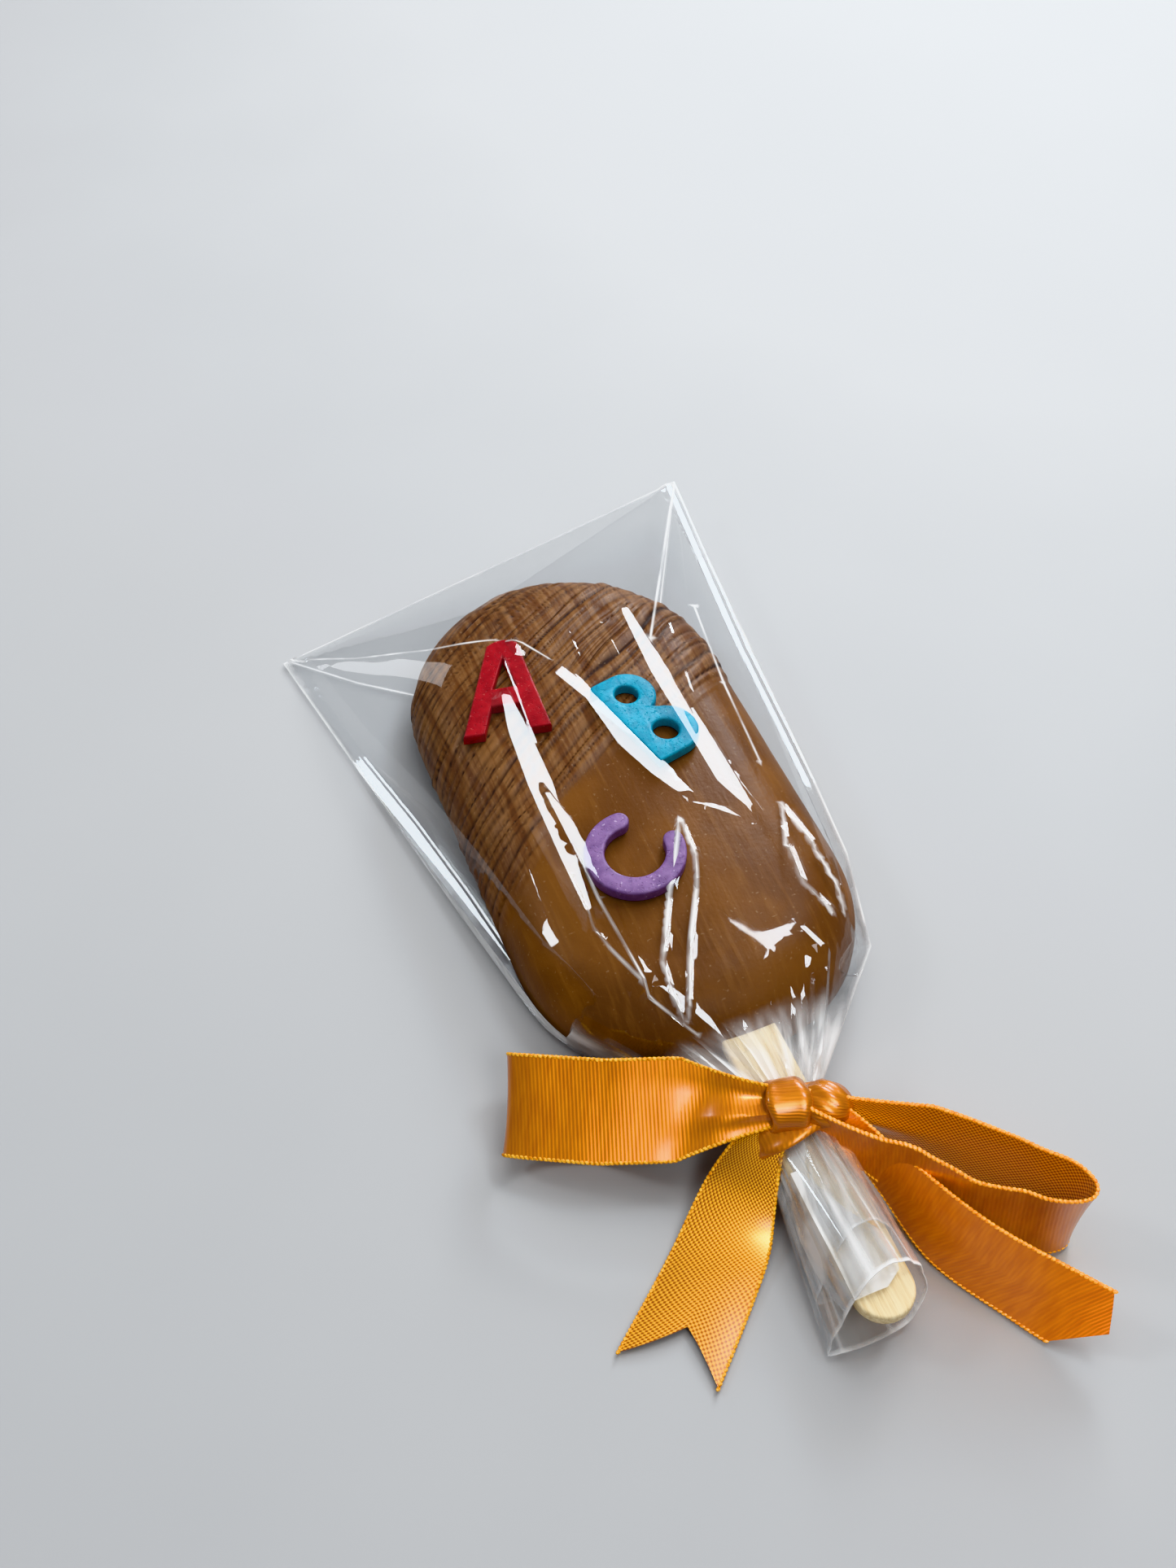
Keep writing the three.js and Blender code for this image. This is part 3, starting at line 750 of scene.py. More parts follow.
def lay_letter(name, loops, place, spots):
    """A letter turned to its heading and tilted onto the three spots that it rests on."""
    points, faces = flat_piece(name, loops, LETTER_THICK, LETTER_BEVEL)
    turn = math.radians(place["turn"])
    turned = np.array([[math.cos(turn), math.sin(turn)], [-math.sin(turn), math.cos(turn)]])
    at = np.array([place["x"], place["y"]])
    rests = np.array(spots, float) @ turned + at
    heights = bar_height(bar_share(rests[:, 0], rests[:, 1])) + LETTER_REST
    plane = np.linalg.solve(np.column_stack([rests, np.ones(3)]), heights)
    points[:, :2] = points[:, :2] @ turned + at
    points[:, 2] += LETTER_THICK / 2 + points[:, :2] @ plane[:2] + plane[2]
    return make_mesh(name, points, faces, weld=0.005)


def pressed_icing(name, pale, deep, crumb):
    """Matt coloured icing from a pale and a deep shade of one colour, with pale crumbs."""
    material, wire, shader = new_material(name, Subsurface_Weight=0.05, Subsurface_Scale=0.4 * MM)
    place = object_mm(wire)
    cloud = wire.noise(place, 0.55, 4, 0.6)
    pits = wire.noise(place, 2.6, 2).smooth(0.6, 0.72)
    crumbs = wire.noise(place, 1.7, 1).smooth(0.70, 0.74)
    colour = wire.colour(cloud.smooth(0.3, 0.7), deep, pale)
    colour = wire.colour(crumbs * 0.5, colour, crumb)
    rough = 0.42 + pits * 0.25
    grain = cloud * 0.6 - pits * 0.5
    feed(shader, Base_Color=colour, Roughness=rough, Normal=bump(wire, grain, 0.25 * MM, 0.7))
    return material


pressed_red = pressed_icing("pressed_red", srgb(162, 28, 36), srgb(136, 14, 24), srgb(205, 110, 105))
pressed_teal = pressed_icing("pressed_teal", srgb(4, 148, 178), srgb(0, 124, 154), srgb(110, 205, 220))
pressed_purple = pressed_icing("pressed_purple", srgb(136, 104, 152), srgb(112, 82, 130), srgb(205, 185, 215))

spots_a = [(0, LETTER_A["height"]), (-5, 0.5), (5, 0.5)]
spots_b = [(1, 1), (1, LETTER_B["height"] - 1), (LETTER_B["width"] - 1, 5)]
spots_c = [(-6, 0), (3, 5), (3, -5)]
letters = []
for name, loops, place, spots, icing, slot in (
    ("letter_a", loops_a(**LETTER_A), LETTER_A, spots_a, pressed_red, "red_icing"),
    ("letter_b", loops_b(**LETTER_B), LETTER_B, spots_b, pressed_teal, "teal_icing"),
    ("letter_c", loops_c(**LETTER_C), LETTER_C, spots_c, pressed_purple, "purple_icing"),
):
    mesh = lay_letter("icing_" + name, loops, place, spots)
    letters.append(add_piece(mesh, icing, slot, name))

# %% [markdown]
# ## The film: how it looks
#
# Clear film is all reflection: it lets light through and mirrors a few hundredths of it straight
# on, and far more at a slant. So the shader mixes a Transparent and a Glossy surface, and Layer
# Weight raises the share at grazing angles. The big white shapes are a window mirrored in flat
# folds, from the folds' real slopes and the lights. Thin white lines along some creases, the bag's
# outline, the mouth's rim and its pleat crests are painted highlights: a white diffuse surface mixed
# in. The same white gives crowded layers their milky haze, in streaks that are a painted reflection.


# %% Clear film
MIRRORED = 0.062
MIRRORED_AT_A_SLANT = 0.75
# the white diffuse share: real haze where layers crowd, and painted highlights on creases, rims and pleat
# crests
MILKY = 0.72
GATHERED_ROUND = (0.9, -59)  # the place from which the milky streaks fan out


def clear_film():
    """Clear film, milky where many layers crowd together, with painted highlights where its point attribute
    marks creases, rims and pleat crests.
    """
    material = bpy.data.materials.new("clear_film")
    material.use_nodes = True
    tree = material.node_tree
    tree.nodes.clear()
    wire = Wire(tree)
    slant = wire.add("ShaderNodeLayerWeight", {}, {"Blend": 0.5}, "Facing")
    share = MIRRORED + slant**4 * MIRRORED_AT_A_SLANT
    clear = wire.add("ShaderNodeBsdfTransparent", {}, {"Color": (0.975, 0.98, 0.985, 1)})
    gloss = wire.add("ShaderNodeBsdfGlossy", {}, {"Roughness": 0.03})
    film = wire.add("ShaderNodeMixShader", {}, {0: share, 1: clear, 2: gloss})
    x, y, z = object_mm(wire).parts()
    # painted reflection: streaks that fan out from the gather make the milky white uneven
    fan = wire.math("ARCTAN2", x - GATHERED_ROUND[0], abs(y - GATHERED_ROUND[1]) + 2)
    streak = wire.noise(wire.joined(fan * 7, y * 0.09, z * 0.25), 1.0, 2, 0.6).smooth(0.34, 0.62)
    # painted highlight and haze: a white diffuse surface mixed in where the point attribute asks for it
    milk = wire.add("ShaderNodeBsdfDiffuse", {}, {"Color": (0.93, 0.92, 0.91, 1)})
    milky = (wire.attribute("haze_and_glint") * (streak * 0.68 + 0.32) * MILKY).clamped()
    film = wire.add("ShaderNodeMixShader", {}, {0: milky, 1: film, 2: milk})
    out = tree.nodes.new("ShaderNodeOutputMaterial")
    tree.links.new(film.socket, out.inputs["Surface"])
    return material


film_finish = clear_film()
bpy.context.scene.cycles.transparent_max_bounces = 32

# %% [markdown]
# ## The film: its tight shape
#
# A stiff bag pulled shut touches only what sticks out: the bar, the letters, its own corners and
# the neck. Between them it is flat. That is just what a convex hull does, so the hull of those
# points is the bag's tight form. Its upper side gives a height at every place, and its edges are
# where the real film creases.

# %% What the film touches
FILM_GAP = 0.35
BAG_FAR_LEFT = (-39.5, 51.5, 0.6)
BAG_FAR_RIGHT = (35.5, 61, 8.5)
BAG_LEFT = [(-35, 27), (-31, 10.5), (-28, -4.5), (-25, -23.5), (-21.4, -34.7)]
BAG_RIGHT = [(34, 43.5), (31.2, 21), (28.7, -7.5), (26.9, -22), (22.5, -37.7), (18.2, -41)]
BAG_LEFT_HEIGHT = 0.7
BAG_RIGHT_HEIGHT = 6.5
NECK_TIE = -55.5
NECK_HALF_WIDTH = 5.3
NECK_HALF_HEIGHT = 2.9
NECK_HEIGHT = (node_box("stick")[0][2] + node_box("stick")[1][2]) / 2
LETTER_TOUCHES = 7
FILM_PROPS = [(13, 20, 16.6)]  # where its own stiffness holds the film off the bar


def oval(y, half_width, half_height, height, count=24):
    """An upright oval across the stick, at y."""
    angle = np.linspace(0, 2 * math.pi, count, endpoint=False)
    return np.column_stack(
        [half_width * np.cos(angle), np.full(count, y), height + half_height * np.sin(angle)]
    )


def touched_points():
    """Every point that the tight film could rest on."""
    outline = bar_outline(OUTLINE_STEPS)
    touched = [BAG_FAR_LEFT, BAG_FAR_RIGHT] + FILM_PROPS
    touched += [(x, y, BAG_LEFT_HEIGHT) for x, y in BAG_LEFT]
    touched += [(x, y, BAG_RIGHT_HEIGHT) for x, y in BAG_RIGHT]
    for share, height in bar_levels()[len(BACK_RINGS)::3]:
        lift = FILM_GAP + THREAD_DEPTH * 0.8 if height > BAR_BACK + FOOT else -FILM_GAP
        touched += list(bar_ring(outline, share * (1 + FILM_GAP / BAR_RADIUS), height + lift))
    touched += list(oval(NECK_TIE, NECK_HALF_WIDTH, NECK_HALF_HEIGHT, NECK_HEIGHT))
    for letter in letters:
        corners = mesh_points(letter.data)
        corners = corners[corners[:, 2] > corners[:, 2].mean()]
        for angle in np.linspace(0, 2 * math.pi, LETTER_TOUCHES, endpoint=False):
            furthest = np.argmax(corners[:, :2] @ (math.cos(angle), math.sin(angle)))
            touched.append(corners[furthest] + (0, 0, FILM_GAP * 0.6))
    return touched


def tight_hull():
    form = bmesh.new()
    for point in touched_points():
        form.verts.new(point)
    made = bmesh.ops.convex_hull(form, input=form.verts)
    left_over = made["geom_interior"] + made["geom_unused"]
    loose = {part for part in left_over if isinstance(part, bmesh.types.BMVert)}
    bmesh.ops.delete(form, geom=list(loose), context="VERTS")
    bmesh.ops.recalc_face_normals(form, faces=form.faces)
    form.normal_update()
    return form


hull = tight_hull()
hull_tree = BVHTree.FromBMesh(hull)
print("hull faces:", len(hull.faces))

# %% [markdown]
# ## The film: its folds
#
# The bag was folded flat in its packet, so long creases run down it, and pulling it shut adds
# more. Each fold is a low tent: a crest, a flat flank to its right that tips towards the window,
# and a longer back that runs down on the left. Five folds and the creases that show are listed,
# from the shapes of the reflections. The gathers at the neck and the smallest creases come
# from rules. Along some creases and round the bag's outline a narrow milky line is painted on as a highlight.

# %% The folds' places
# Each fold's crest from far to near, and the width of its flank and its back at each place.
FOLDS = [
    {"crest": [(-12.2, 18.9), (-14.2, 9.6), (-15.1, -1.2), (-15.4, -14.8), (-15.5, -26.4)],
     "flank": [0.8, 3.1, 3.8, 2.2, 0.7], "back": [1.5, 3, 2.2, 1.2, 0.9]},
    {"crest": [(-13.4, -1.0), (-13.2, -9.5), (-13.0, -17.8), (-12.5, -25), (-12.1, -38.0)],
     "flank": [0.2, 1.9, 1.9, 1.3, 0.3], "back": [0.4, 1.0, 1.2, 2, 2]},
    {"crest": [(11.6, 29.5), (10.8, 25.8), (10.2, 13), (10.6, 0.5), (10.6, -10), (13.3, -18)],
     "flank": [0.3, 1.5, 2.9, 3.1, 3.1, 0.2], "back": [1, 3, 3.5, 3.5, 3, 1]},
    {"crest": [(-7.8, 28), (-3.9, 18.3), (-1.2, 11.2), (-0.2, 1), (2.1, -5.7), (5.2, -11.9)],
     "flank": [1.1, 2.2, 2.4, 3.5, 3.0, 1.8], "back": [1, 3, 4, 5, 4, 2]},
    {"crest": [(5.6, -12.1), (8.6, -14.2), (13.0, -17.9)],
     "flank": [0.2, 1.7, 0.2], "back": [0.5, 1.2, 0.4]},
]
# Each crease's width, and its places from far to near.
CREASES = [
    (0.3, [(-9.7, 25.4), (-10.8, 9.9), (-11.6, 0)]),
    (0.7, [(2.6, -14.4), (-1.2, -21.5), (-3.5, -25.1)]),
    (0.7, [(-3.5, -25.1), (-8.3, -34.2)]),
    (0.6, [(-8.3, -34.2), (-8.9, -39), (-8.8, -42.6)]),
    (0.55, [(2.9, -14.4), (2.2, -21.1), (0.2, -26.0)]),
    (0.6, [(0.2, -26.0), (-3.8, -33.0), (-8.2, -42.6)]),
    (0.6, [(18.3, -16.0), (15.6, -22.7)]),
    (0.7, [(15.6, -22.7), (15.1, -29.4), (17.2, -34.4)]),
    (0.7, [(18.6, -15.2), (19.6, -24.4)]),
    (0.9, [(19.6, -24.4), (20.1, -30.8), (19.2, -34.3)]),
    (1.0, [(-15.5, -26), (-13.4, -29.7), (-10.8, -36.3)]),
    (1.2, [(-10.8, -36.3), (-7.3, -41.7), (-4.1, -47.6)]),
    (0.8, [(10.3, -33), (13.2, -39.4), (9.6, -46), (5.0, -54)]),
]
# Lines along which a painted highlight, a narrow milky white, is laid on the film: far left corner
# to the first letter, from there towards the second, down the long fold's two branches, and along the right
# shoulder.
GLINT_LINES = [
    [(-38, 51.2), (-29.1, 42.6), (-18.9, 34.7), (-9.3, 29)],
    [(-9.1, 28.7), (-6.0, 25.7), (-3.4, 21.4)],
    [(-12.9, -13.2), (-12.9, -22.7), (-11.9, -37.6), (-7.8, -44.6)],
    [(-15.3, -18.5), (-15.1, -25.7), (-12.3, -36.2)],
    [(24.2, 27.8), (21.1, 9.9), (19.2, -6.9)],
]
# these small creases get the painted highlight too
GLINT_CREASES = slice(1, 10)  # those of the small creases that went pale too
CREASE_FRONT = 0.5
FOLD_ROOM = 2.7
CREASE_ROOM = 1.8
HIGHEST = 18.2
GATHERS = 15
GATHER_SEED = 3
GATHERS_FROM = -44
# The least and the most that chance gives the gathers and the smallest creases.
GATHER = {"x": (12, 19), "y": (-2, 2), "bend": (-0.8, 0.8), "width": (0.5, 1.0), "ridge": (0.35, 0.9)}
SMALL_CREASES = 8
SMALL = {"x": (-22, 22), "y": (-12, 40), "length": (6, 20), "lean": (-0.22, 0.22)}
SMALL_SECTION = {"width": (0.25, 0.4), "height": (0.05, 0.12)}


def at_y(path, values, y):
    """Values that are given at each point of a path, read at any y. Paths run from far to near."""
    ys = [place[1] for place in path]
    return np.interp(y, ys[::-1], values[::-1])


def line_x(path, y):
    """The x of a path at each y."""
    return at_y(path, [place[0] for place in path], y)


def thin_crease(path, width, height=None):
    """A narrow fold. Without a height it tips just far enough to show a light."""
    widths = [width] * len(path)
    fold = {"crest": path, "flank": widths, "back": widths, "room": CREASE_ROOM}
    return fold if height is None else {**fold, "ridge": height}


def gather_folds(chance):
    """Folds that fan out from the tied neck over the near end of the bag."""
    folds = []
    for index in range(GATHERS):
        share = index / (GATHERS - 1) * 2 - 1
        near_x = share * (NECK_HALF_WIDTH - 0.9)
        far_x = share * chance.uniform(*GATHER["x"])
        far_y = GATHERS_FROM + abs(share) * 4 + chance.uniform(*GATHER["y"])
        bend = (near_x + far_x) / 2 + chance.uniform(*GATHER["bend"])
        path = [(far_x, far_y), (bend, (far_y + NECK_TIE) / 2), (near_x, NECK_TIE + 0.2)]
        width = chance.uniform(*GATHER["width"])
        fold = {"crest": path, "flank": [width * 0.7, width, 0.4], "back": [width, width, 0.4]}
        folds.append({**fold, "ridge": chance.uniform(*GATHER["ridge"])})
    return folds


def small_creases(chance):
    """Short creases here and there, mostly along the bag."""
    folds = []
    for _ in range(SMALL_CREASES):
        x, y, length, lean = (chance.uniform(*span) for span in SMALL.values())
        path = [(x, y + length / 2), (x - lean * length / 2, y), (x - lean * length, y - length / 2)]
        width, height = (chance.uniform(*span) for span in SMALL_SECTION.values())
        folds.append(thin_crease(path, width, height))
    return folds


chance = np.random.default_rng(GATHER_SEED)
folds = [{**fold, "room": FOLD_ROOM} for fold in FOLDS]
folds += [thin_crease(path, width) for width, path in CREASES]
folds += gather_folds(chance) + small_creases(chance)
print("folds and creases:", len(folds))


# %% Heights on the film
FAR_AWAY = 100
FOLD_STEPS = 40


def drop_on(points, from_above=True):
    """Heights of the tight hull over or under each (x, y). Beside the hull there is none."""
    side = 1 if from_above else -1
    heights = []
    for x, y in points:
        hit = hull_tree.ray_cast(Vector((x, y, FAR_AWAY * side)), Vector((0, 0, -side)))[0]
        heights.append(hit.z if hit else np.nan)
    return np.array(heights)


def flank_plane(fold, y):
    """Height of a fold's foot at each y, and the slope along X with which its flank shows a light.

    Going along the foot, the slope that a light asks for is summed up into a height. Of the
    lights, the fold takes the one that lifts it least, and follows it as far as there is room.
    """
    crest = fold["crest"]
    along = np.linspace(crest[-1][1], crest[0][1], FOLD_STEPS)
    flank = at_y(crest, fold["flank"], along)
    foot_x = line_x(crest, along) + flank
    under = drop_on(np.column_stack([foot_x, along]))
    turn = np.gradient(foot_x, along)
    straight = under[0] + (under[-1] - under[0]) / (along[-1] - along[0]) * (along - along[0])
    best = None
    for light in (WINDOW, LOW_WINDOW, HIGH_WINDOW):
        tilt, lean = mirror_slopes(foot_x, along, light)
        wanted = lean + tilt * turn
        exact = np.concatenate([[0], np.cumsum((wanted[1:] + wanted[:-1]) / 2 * np.diff(along))])
        for follow in np.linspace(1, 0, 11):
            line = exact * follow + straight * (1 - follow)
            line += (under - line).max()
            over = (line - under).max()
            if over < fold["room"] and (line - tilt * flank).max() < HIGHEST:
                break
        if best is None or (-follow, over) < best[:2]:
            best = (-follow, over, line, tilt, lean)
    _, _, line, tilt, lean = best
    tilt = (tilt + turn * (np.gradient(line, along) - lean)) / (1 + turn**2)
    return np.interp(y, along, line), np.interp(y, along, tilt)


def fold_height(fold, points, tight):
    """How far a fold lifts the film over each (x, y)."""
    x, y = points.T
    path = fold["crest"]
    far, near = path[0][1], path[-1][1]
    crest = line_x(path, y)
    flank = at_y(path, fold["flank"], y)
    back = at_y(path, fold["back"], y)
    u = x - crest
    here = (y <= far) & (y >= near) & (u <= flank + CREASE_FRONT) & (u >= -back)
    height = np.zeros(len(x))
    if not here.any():
        return height
    y, crest, flank, back, u = (values[here] for values in (y, crest, flank, back, u))
    share = np.clip((far - y) / (far - near), 0, 1)
    if "ridge" in fold:
        top = fold["ridge"] * np.sin(math.pi * np.clip(share, 0.08, 0.75))
        rise = top * np.where(u > 0, 1 - u / flank, 1 + u / back)
    else:
        foot, tilt = flank_plane(fold, y)
        top = foot - tilt * flank - drop_on(np.column_stack([crest, y]))
        slope = foot - tilt * (flank - u) - tight[here]
        step = foot - drop_on(np.column_stack([crest + flank, y]))
        front = step * (1 - (u - flank) / CREASE_FRONT)
        rise = np.where(u > flank, front, np.where(u > 0, slope, top * (1 + u / back)))
        end = min(1.5, (far - near) * 0.1)
        rise = rise * np.clip((far - y) / end, 0, 1) * np.clip((y - near) / end, 0, 1)
    height[here] = rise
    return height


# %% The strips along the bag's sides
def edge_path(far, side, heights):
    """The bag's outline down one side, as (x, y, height) from far to near."""
    return [far] + [(x, y, height) for (x, y), height in zip(side, heights)]


LEFT_LIFTS = [0.7, 0.7, 0.7, 1.1, 3.0]
RIGHT_LIFTS = [BAG_RIGHT_HEIGHT] * len(BAG_RIGHT)
LEFT_STRIP = edge_path(BAG_FAR_LEFT, BAG_LEFT, LEFT_LIFTS)
RIGHT_STRIP = edge_path(BAG_FAR_RIGHT, BAG_RIGHT, RIGHT_LIFTS)
# Each strip's outline, which way is inwards, its light, and its parts: width, and whether it shows.
EDGE_STRIPS = [
    (LEFT_STRIP, 1, SIDE_WINDOW, [(1.3, 1), (0.4, 0), (0.3, 1)]),
    (RIGHT_STRIP, -1, WINDOW, [(0.3, 1), (0.6, 0), (1.0, 1)]),
]
STRIP_BEND = 1.6


def edge_strip(points, top, path, inwards, light, parts):
    """Lays the film's folded side in flat strips, of which some show a light, then bends up."""
    x, y = points.T
    u = (x - line_x(path, y)) * inwards
    strip = at_y(path, [place[2] for place in path], y)
    slope = mirror_slopes(x, y, light)[0] * inwards
    reach = 0
    for width, shows in parts:
        strip = strip + slope * shows * (np.clip(u - reach, 0 if reach else -1, width))
        reach += width
    bend = np.clip((u - reach) / STRIP_BEND, 0, 1)
    here = (y <= path[0][1]) & (y >= path[-1][1]) & (u < reach + STRIP_BEND)
    return np.where(here, strip + (top - strip) * bend, top)


# %% The sheet's triangles
FILM_STEP = 1.3
FILM_ROW = FILM_STEP * 0.87  # rows this far apart make even triangles
SAME_PLACE = 1e-4
TINY = 1e-6
FILM_CREASE = 5  # degrees by which a sharp edge bends
FACES_UP = 0.05  # the least rise of a normal on the hull's upper side
# An edge of the hull gets a painted highlight beyond this y, if it is so long and bends more than so much.
GLINT_BEYOND = 14
GLINT_LENGTH = 9
GLINT_COSINE = 0.97
# a line with a painted highlight reaches this far to each side
BRIGHT_CREASE = 0.3  # half the width of a line that went pale
GLINT_END = 0.03  # the share of such a line that is left out at each end


def film_outline():
    """The hull seen from above, as an even row of points that goes round."""
    xy = np.array([point.co.xy for point in hull.verts])
    corners = xy[convex_order(xy)]
    loop = []
    for a, b in zip(corners, np.roll(corners, -1, axis=0)):
        steps = max(1, round(float(np.hypot(*(b - a))) / FILM_STEP))
        loop += [a + (b - a) * i / steps for i in range(steps)]
    return np.array(loop)


def convex_order(xy):
    """Indices of the points on the convex outline, going round once."""
    order = sorted(range(len(xy)), key=lambda i: (xy[i][0], xy[i][1]))

    def half(indices):
        chain = []
        for i in indices:
            while len(chain) > 1 and turn_of(xy[chain[-2]], xy[chain[-1]], xy[i]) <= TINY:
                chain.pop()
            chain.append(i)
        return chain[:-1]

    return half(order) + half(order[::-1])


def turn_of(a, b, c):
    return (b[0] - a[0]) * (c[1] - a[1]) - (b[1] - a[1]) * (c[0] - a[0])


def split_line(points, step=FILM_STEP):
    """A line through the points, with no step longer than the given one."""
    line = []
    for a, b in zip(points[:-1], points[1:]):
        a, b = np.array(a, float), np.array(b, float)
        steps = max(1, math.ceil(float(np.hypot(*(b - a))) / step))
        line += [a + (b - a) * i / steps for i in range(steps)]
    line.append(np.array(points[-1], float))
    return line


def crease_lines():
    """Every line on which the sheet bends or carries a painted highlight, so that its triangles meet there.
    """
    paths = [[a, b] for a, b, _ in hull_creases()] + GLINT_LINES
    for a, b in glint_runs():
        beside = np.array([a[1] - b[1], b[0] - a[0]]) / math.hypot(*(b - a)) * BRIGHT_CREASE
        ends = lerp(a, b, GLINT_END), lerp(a, b, 1 - GLINT_END)
        paths += [[end + side for end in ends] for side in (beside, -beside)]
    for fold in folds:
        crest = fold["crest"]
        foot = [(x + w, y) for (x, y), w in zip(crest, fold["flank"])]
        paths += [crest, foot, [(x - w, y) for (x, y), w in zip(crest, fold["back"])]]
        if "ridge" not in fold:
            paths.append([(x + CREASE_FRONT, y) for x, y in foot])
    for path, inwards, _, parts in EDGE_STRIPS:
        reaches = list(np.cumsum([width for width, _ in parts]))
        for reach in reaches + [reaches[-1] + STRIP_BEND]:
            paths.append([(x + reach * inwards, y) for x, y, _ in path])
    return [split_line(path) for path in paths]


def straight_runs(paths):
    """The straight parts of each path, as two ends."""
    runs = [(a, b) for path in paths for a, b in zip(path, path[1:])]
    return [(np.array(a, float), np.array(b, float)) for a, b in runs]


def glint_runs():
    """The straight lines that carry a painted highlight: the hull's long far edges and those listed."""
    glint_edges = [(a, b) for a, b, cosine in hull_creases() if is_glint_edge(a, b, cosine)]
    return glint_edges + straight_runs(GLINT_LINES)


def hull_creases():
    """The sharp edges on the hull's upper side: two ends in the plane, and how far they bend."""
    for edge in hull.edges:
        normals = [np.array(face.normal) for face in edge.link_faces]
        if len(normals) == 2 and min(normal[2] for normal in normals) > FACES_UP:
            cosine = normals[0] @ normals[1]
            if cosine < math.cos(math.radians(FILM_CREASE)):
                yield np.array(edge.verts[0].co.xy), np.array(edge.verts[1].co.xy), cosine


def is_glint_edge(a, b, cosine):
    """Long creases at the bag's far end carry a painted highlight."""
    long_enough = math.hypot(*(b - a)) > GLINT_LENGTH
    return min(a[1], b[1]) > GLINT_BEYOND and long_enough and cosine < GLINT_COSINE


def film_sheet(lines, outline):
    """The sheet's points in the plane and its triangles, with every line kept as edges."""
    points, edges = [], []
    for line, closed in [(outline, True)] + [(line, False) for line in lines]:
        first = len(points)
        points += [Vector((float(x), float(y))) for x, y in line]
        last = len(points) - 1
        edges += [(i, i + 1) for i in range(first, last)]
        if closed:
            edges.append((last, first))
    low, high = outline.min(0), outline.max(0)
    for row, y in enumerate(np.arange(low[1], high[1], FILM_ROW)):
        for x in np.arange(low[0] + (row % 2) * FILM_STEP / 2, high[0], FILM_STEP):
            if not np.isnan(drop_on([(x, y)])[0]):
                points.append(Vector((x, y)))
    made = delaunay_2d_cdt(points, edges, [], 0, SAME_PLACE)
    return np.array([tuple(p) for p in made[0]]), [tuple(f) for f in made[2]]


# %% The bag's closed sheet
RIPPLE = 0.018
RIPPLE_LENGTH = 9.0
RIM = 0.02
RIM_HEIGHT = 0.5  # where the hull gives none
CROWD_FROM = -44.5  # from this y the layers crowd together towards the neck
CROWD_RISE = 5
SEAM_WIDTH = 0.5
GLINT_SHARE = 1.1
JUST_INSIDE = 0.9995  # so that the outline's own points lie over the hull


def ripple(x, y):
    """Slow waves, so that no part of the film is a perfect plane."""
    waves = np.sin(x * 2 * math.pi / RIPPLE_LENGTH + y * 0.13)
    return RIPPLE * (waves + np.sin(y * 2 * math.pi / (RIPPLE_LENGTH * 1.7) - x * 0.21 + 1))


def inside_by(outline, points):
    """How far each point lies inside a convex outline that goes round against the clock."""
    inside = np.full(len(points), np.inf)
    for a, b in zip(outline, np.roll(outline, -1, axis=0)):
        length = math.hypot(*(b - a))
        if length > TINY:
            across = (b[0] - a[0]) * (points[:, 1] - a[1]) - (b[1] - a[1]) * (points[:, 0] - a[0])
            inside = np.minimum(inside, across / length)
    return inside


def bag_film():
    """The sheet over the bag and the one under it, joined at the rim, with how milky they are and where they
    carry a painted highlight.
    """
    outline = film_outline()
    centre = outline.mean(0)
    reach = np.linalg.norm(outline - centre, axis=1)[:, None]
    inner_seam = centre + (outline - centre) * (1 - SEAM_WIDTH / reach)
    flat, faces = film_sheet(crease_lines() + [list(inner_seam)], outline)
    depth = inside_by(outline, flat)
    rim = depth < RIM
    faces = [face for face in faces if depth[list(face)].min() > -RIM and depth[list(face)].max() > RIM]
    centre = flat.mean(0)
    inner = centre + (flat - centre) * JUST_INSIDE
    top = drop_on(inner)
    bottom = drop_on(inner, False)
    lift = np.zeros(len(flat))
    for fold in folds:
        lift = np.maximum(lift, fold_height(fold, flat, top))
    top = np.minimum(top + lift + ripple(*flat.T), HIGHEST)
    for strip in EDGE_STRIPS:
        top = edge_strip(flat, top, *strip)
    top = np.where(rim, np.where(np.isnan(top), RIM_HEIGHT, np.maximum(bottom, top)), top)
    count = len(flat)
    points = np.vstack([np.column_stack([flat, top]), np.column_stack([flat, bottom])])
    under = [tuple(i if rim[i] else count + i for i in face[::-1]) for face in faces]
    mesh = make_mesh("film_bag", points, faces + under)
    places = mesh_points(mesh)[:, :2]
    neck = np.clip((CROWD_FROM - places[:, 1]) / CROWD_RISE, 0, 1)
    # painted highlight: milky white along the outline's seam and along the chosen creases and hull edges
    pale = np.clip(1 - inside_by(outline, places) / SEAM_WIDTH, 0, 1)
    for a, b in glint_runs() + straight_runs(path for _, path in CREASES[GLINT_CREASES]):
        along = np.clip((places - a) @ (b - a) / ((b - a) @ (b - a)), 0, 1)
        away = np.linalg.norm(places - a - along[:, None] * (b - a), axis=1)
        pale = np.maximum(pale, np.clip(1 - away / BRIGHT_CREASE, 0, 1))
    put_attribute(mesh, "haze_and_glint", np.maximum(neck, pale * GLINT_SHARE))
    print("film points:", count, "rim points:", int(rim.sum()))
    return mesh


add_piece(bag_film(), film_finish, "film", "bag", crease=FILM_CREASE)

# %% [markdown]
# ## The film: its mouth
#
# Past the tie the film opens again round the stick. It is gathered at the neck, so its folds are
# deep there and fade towards the mouth, where the sheet lies flat on the left and rolls up into a
# round lobe on the right. It is a wall with a thin hollow: out along the outside, round the rim
# and back along the inside.

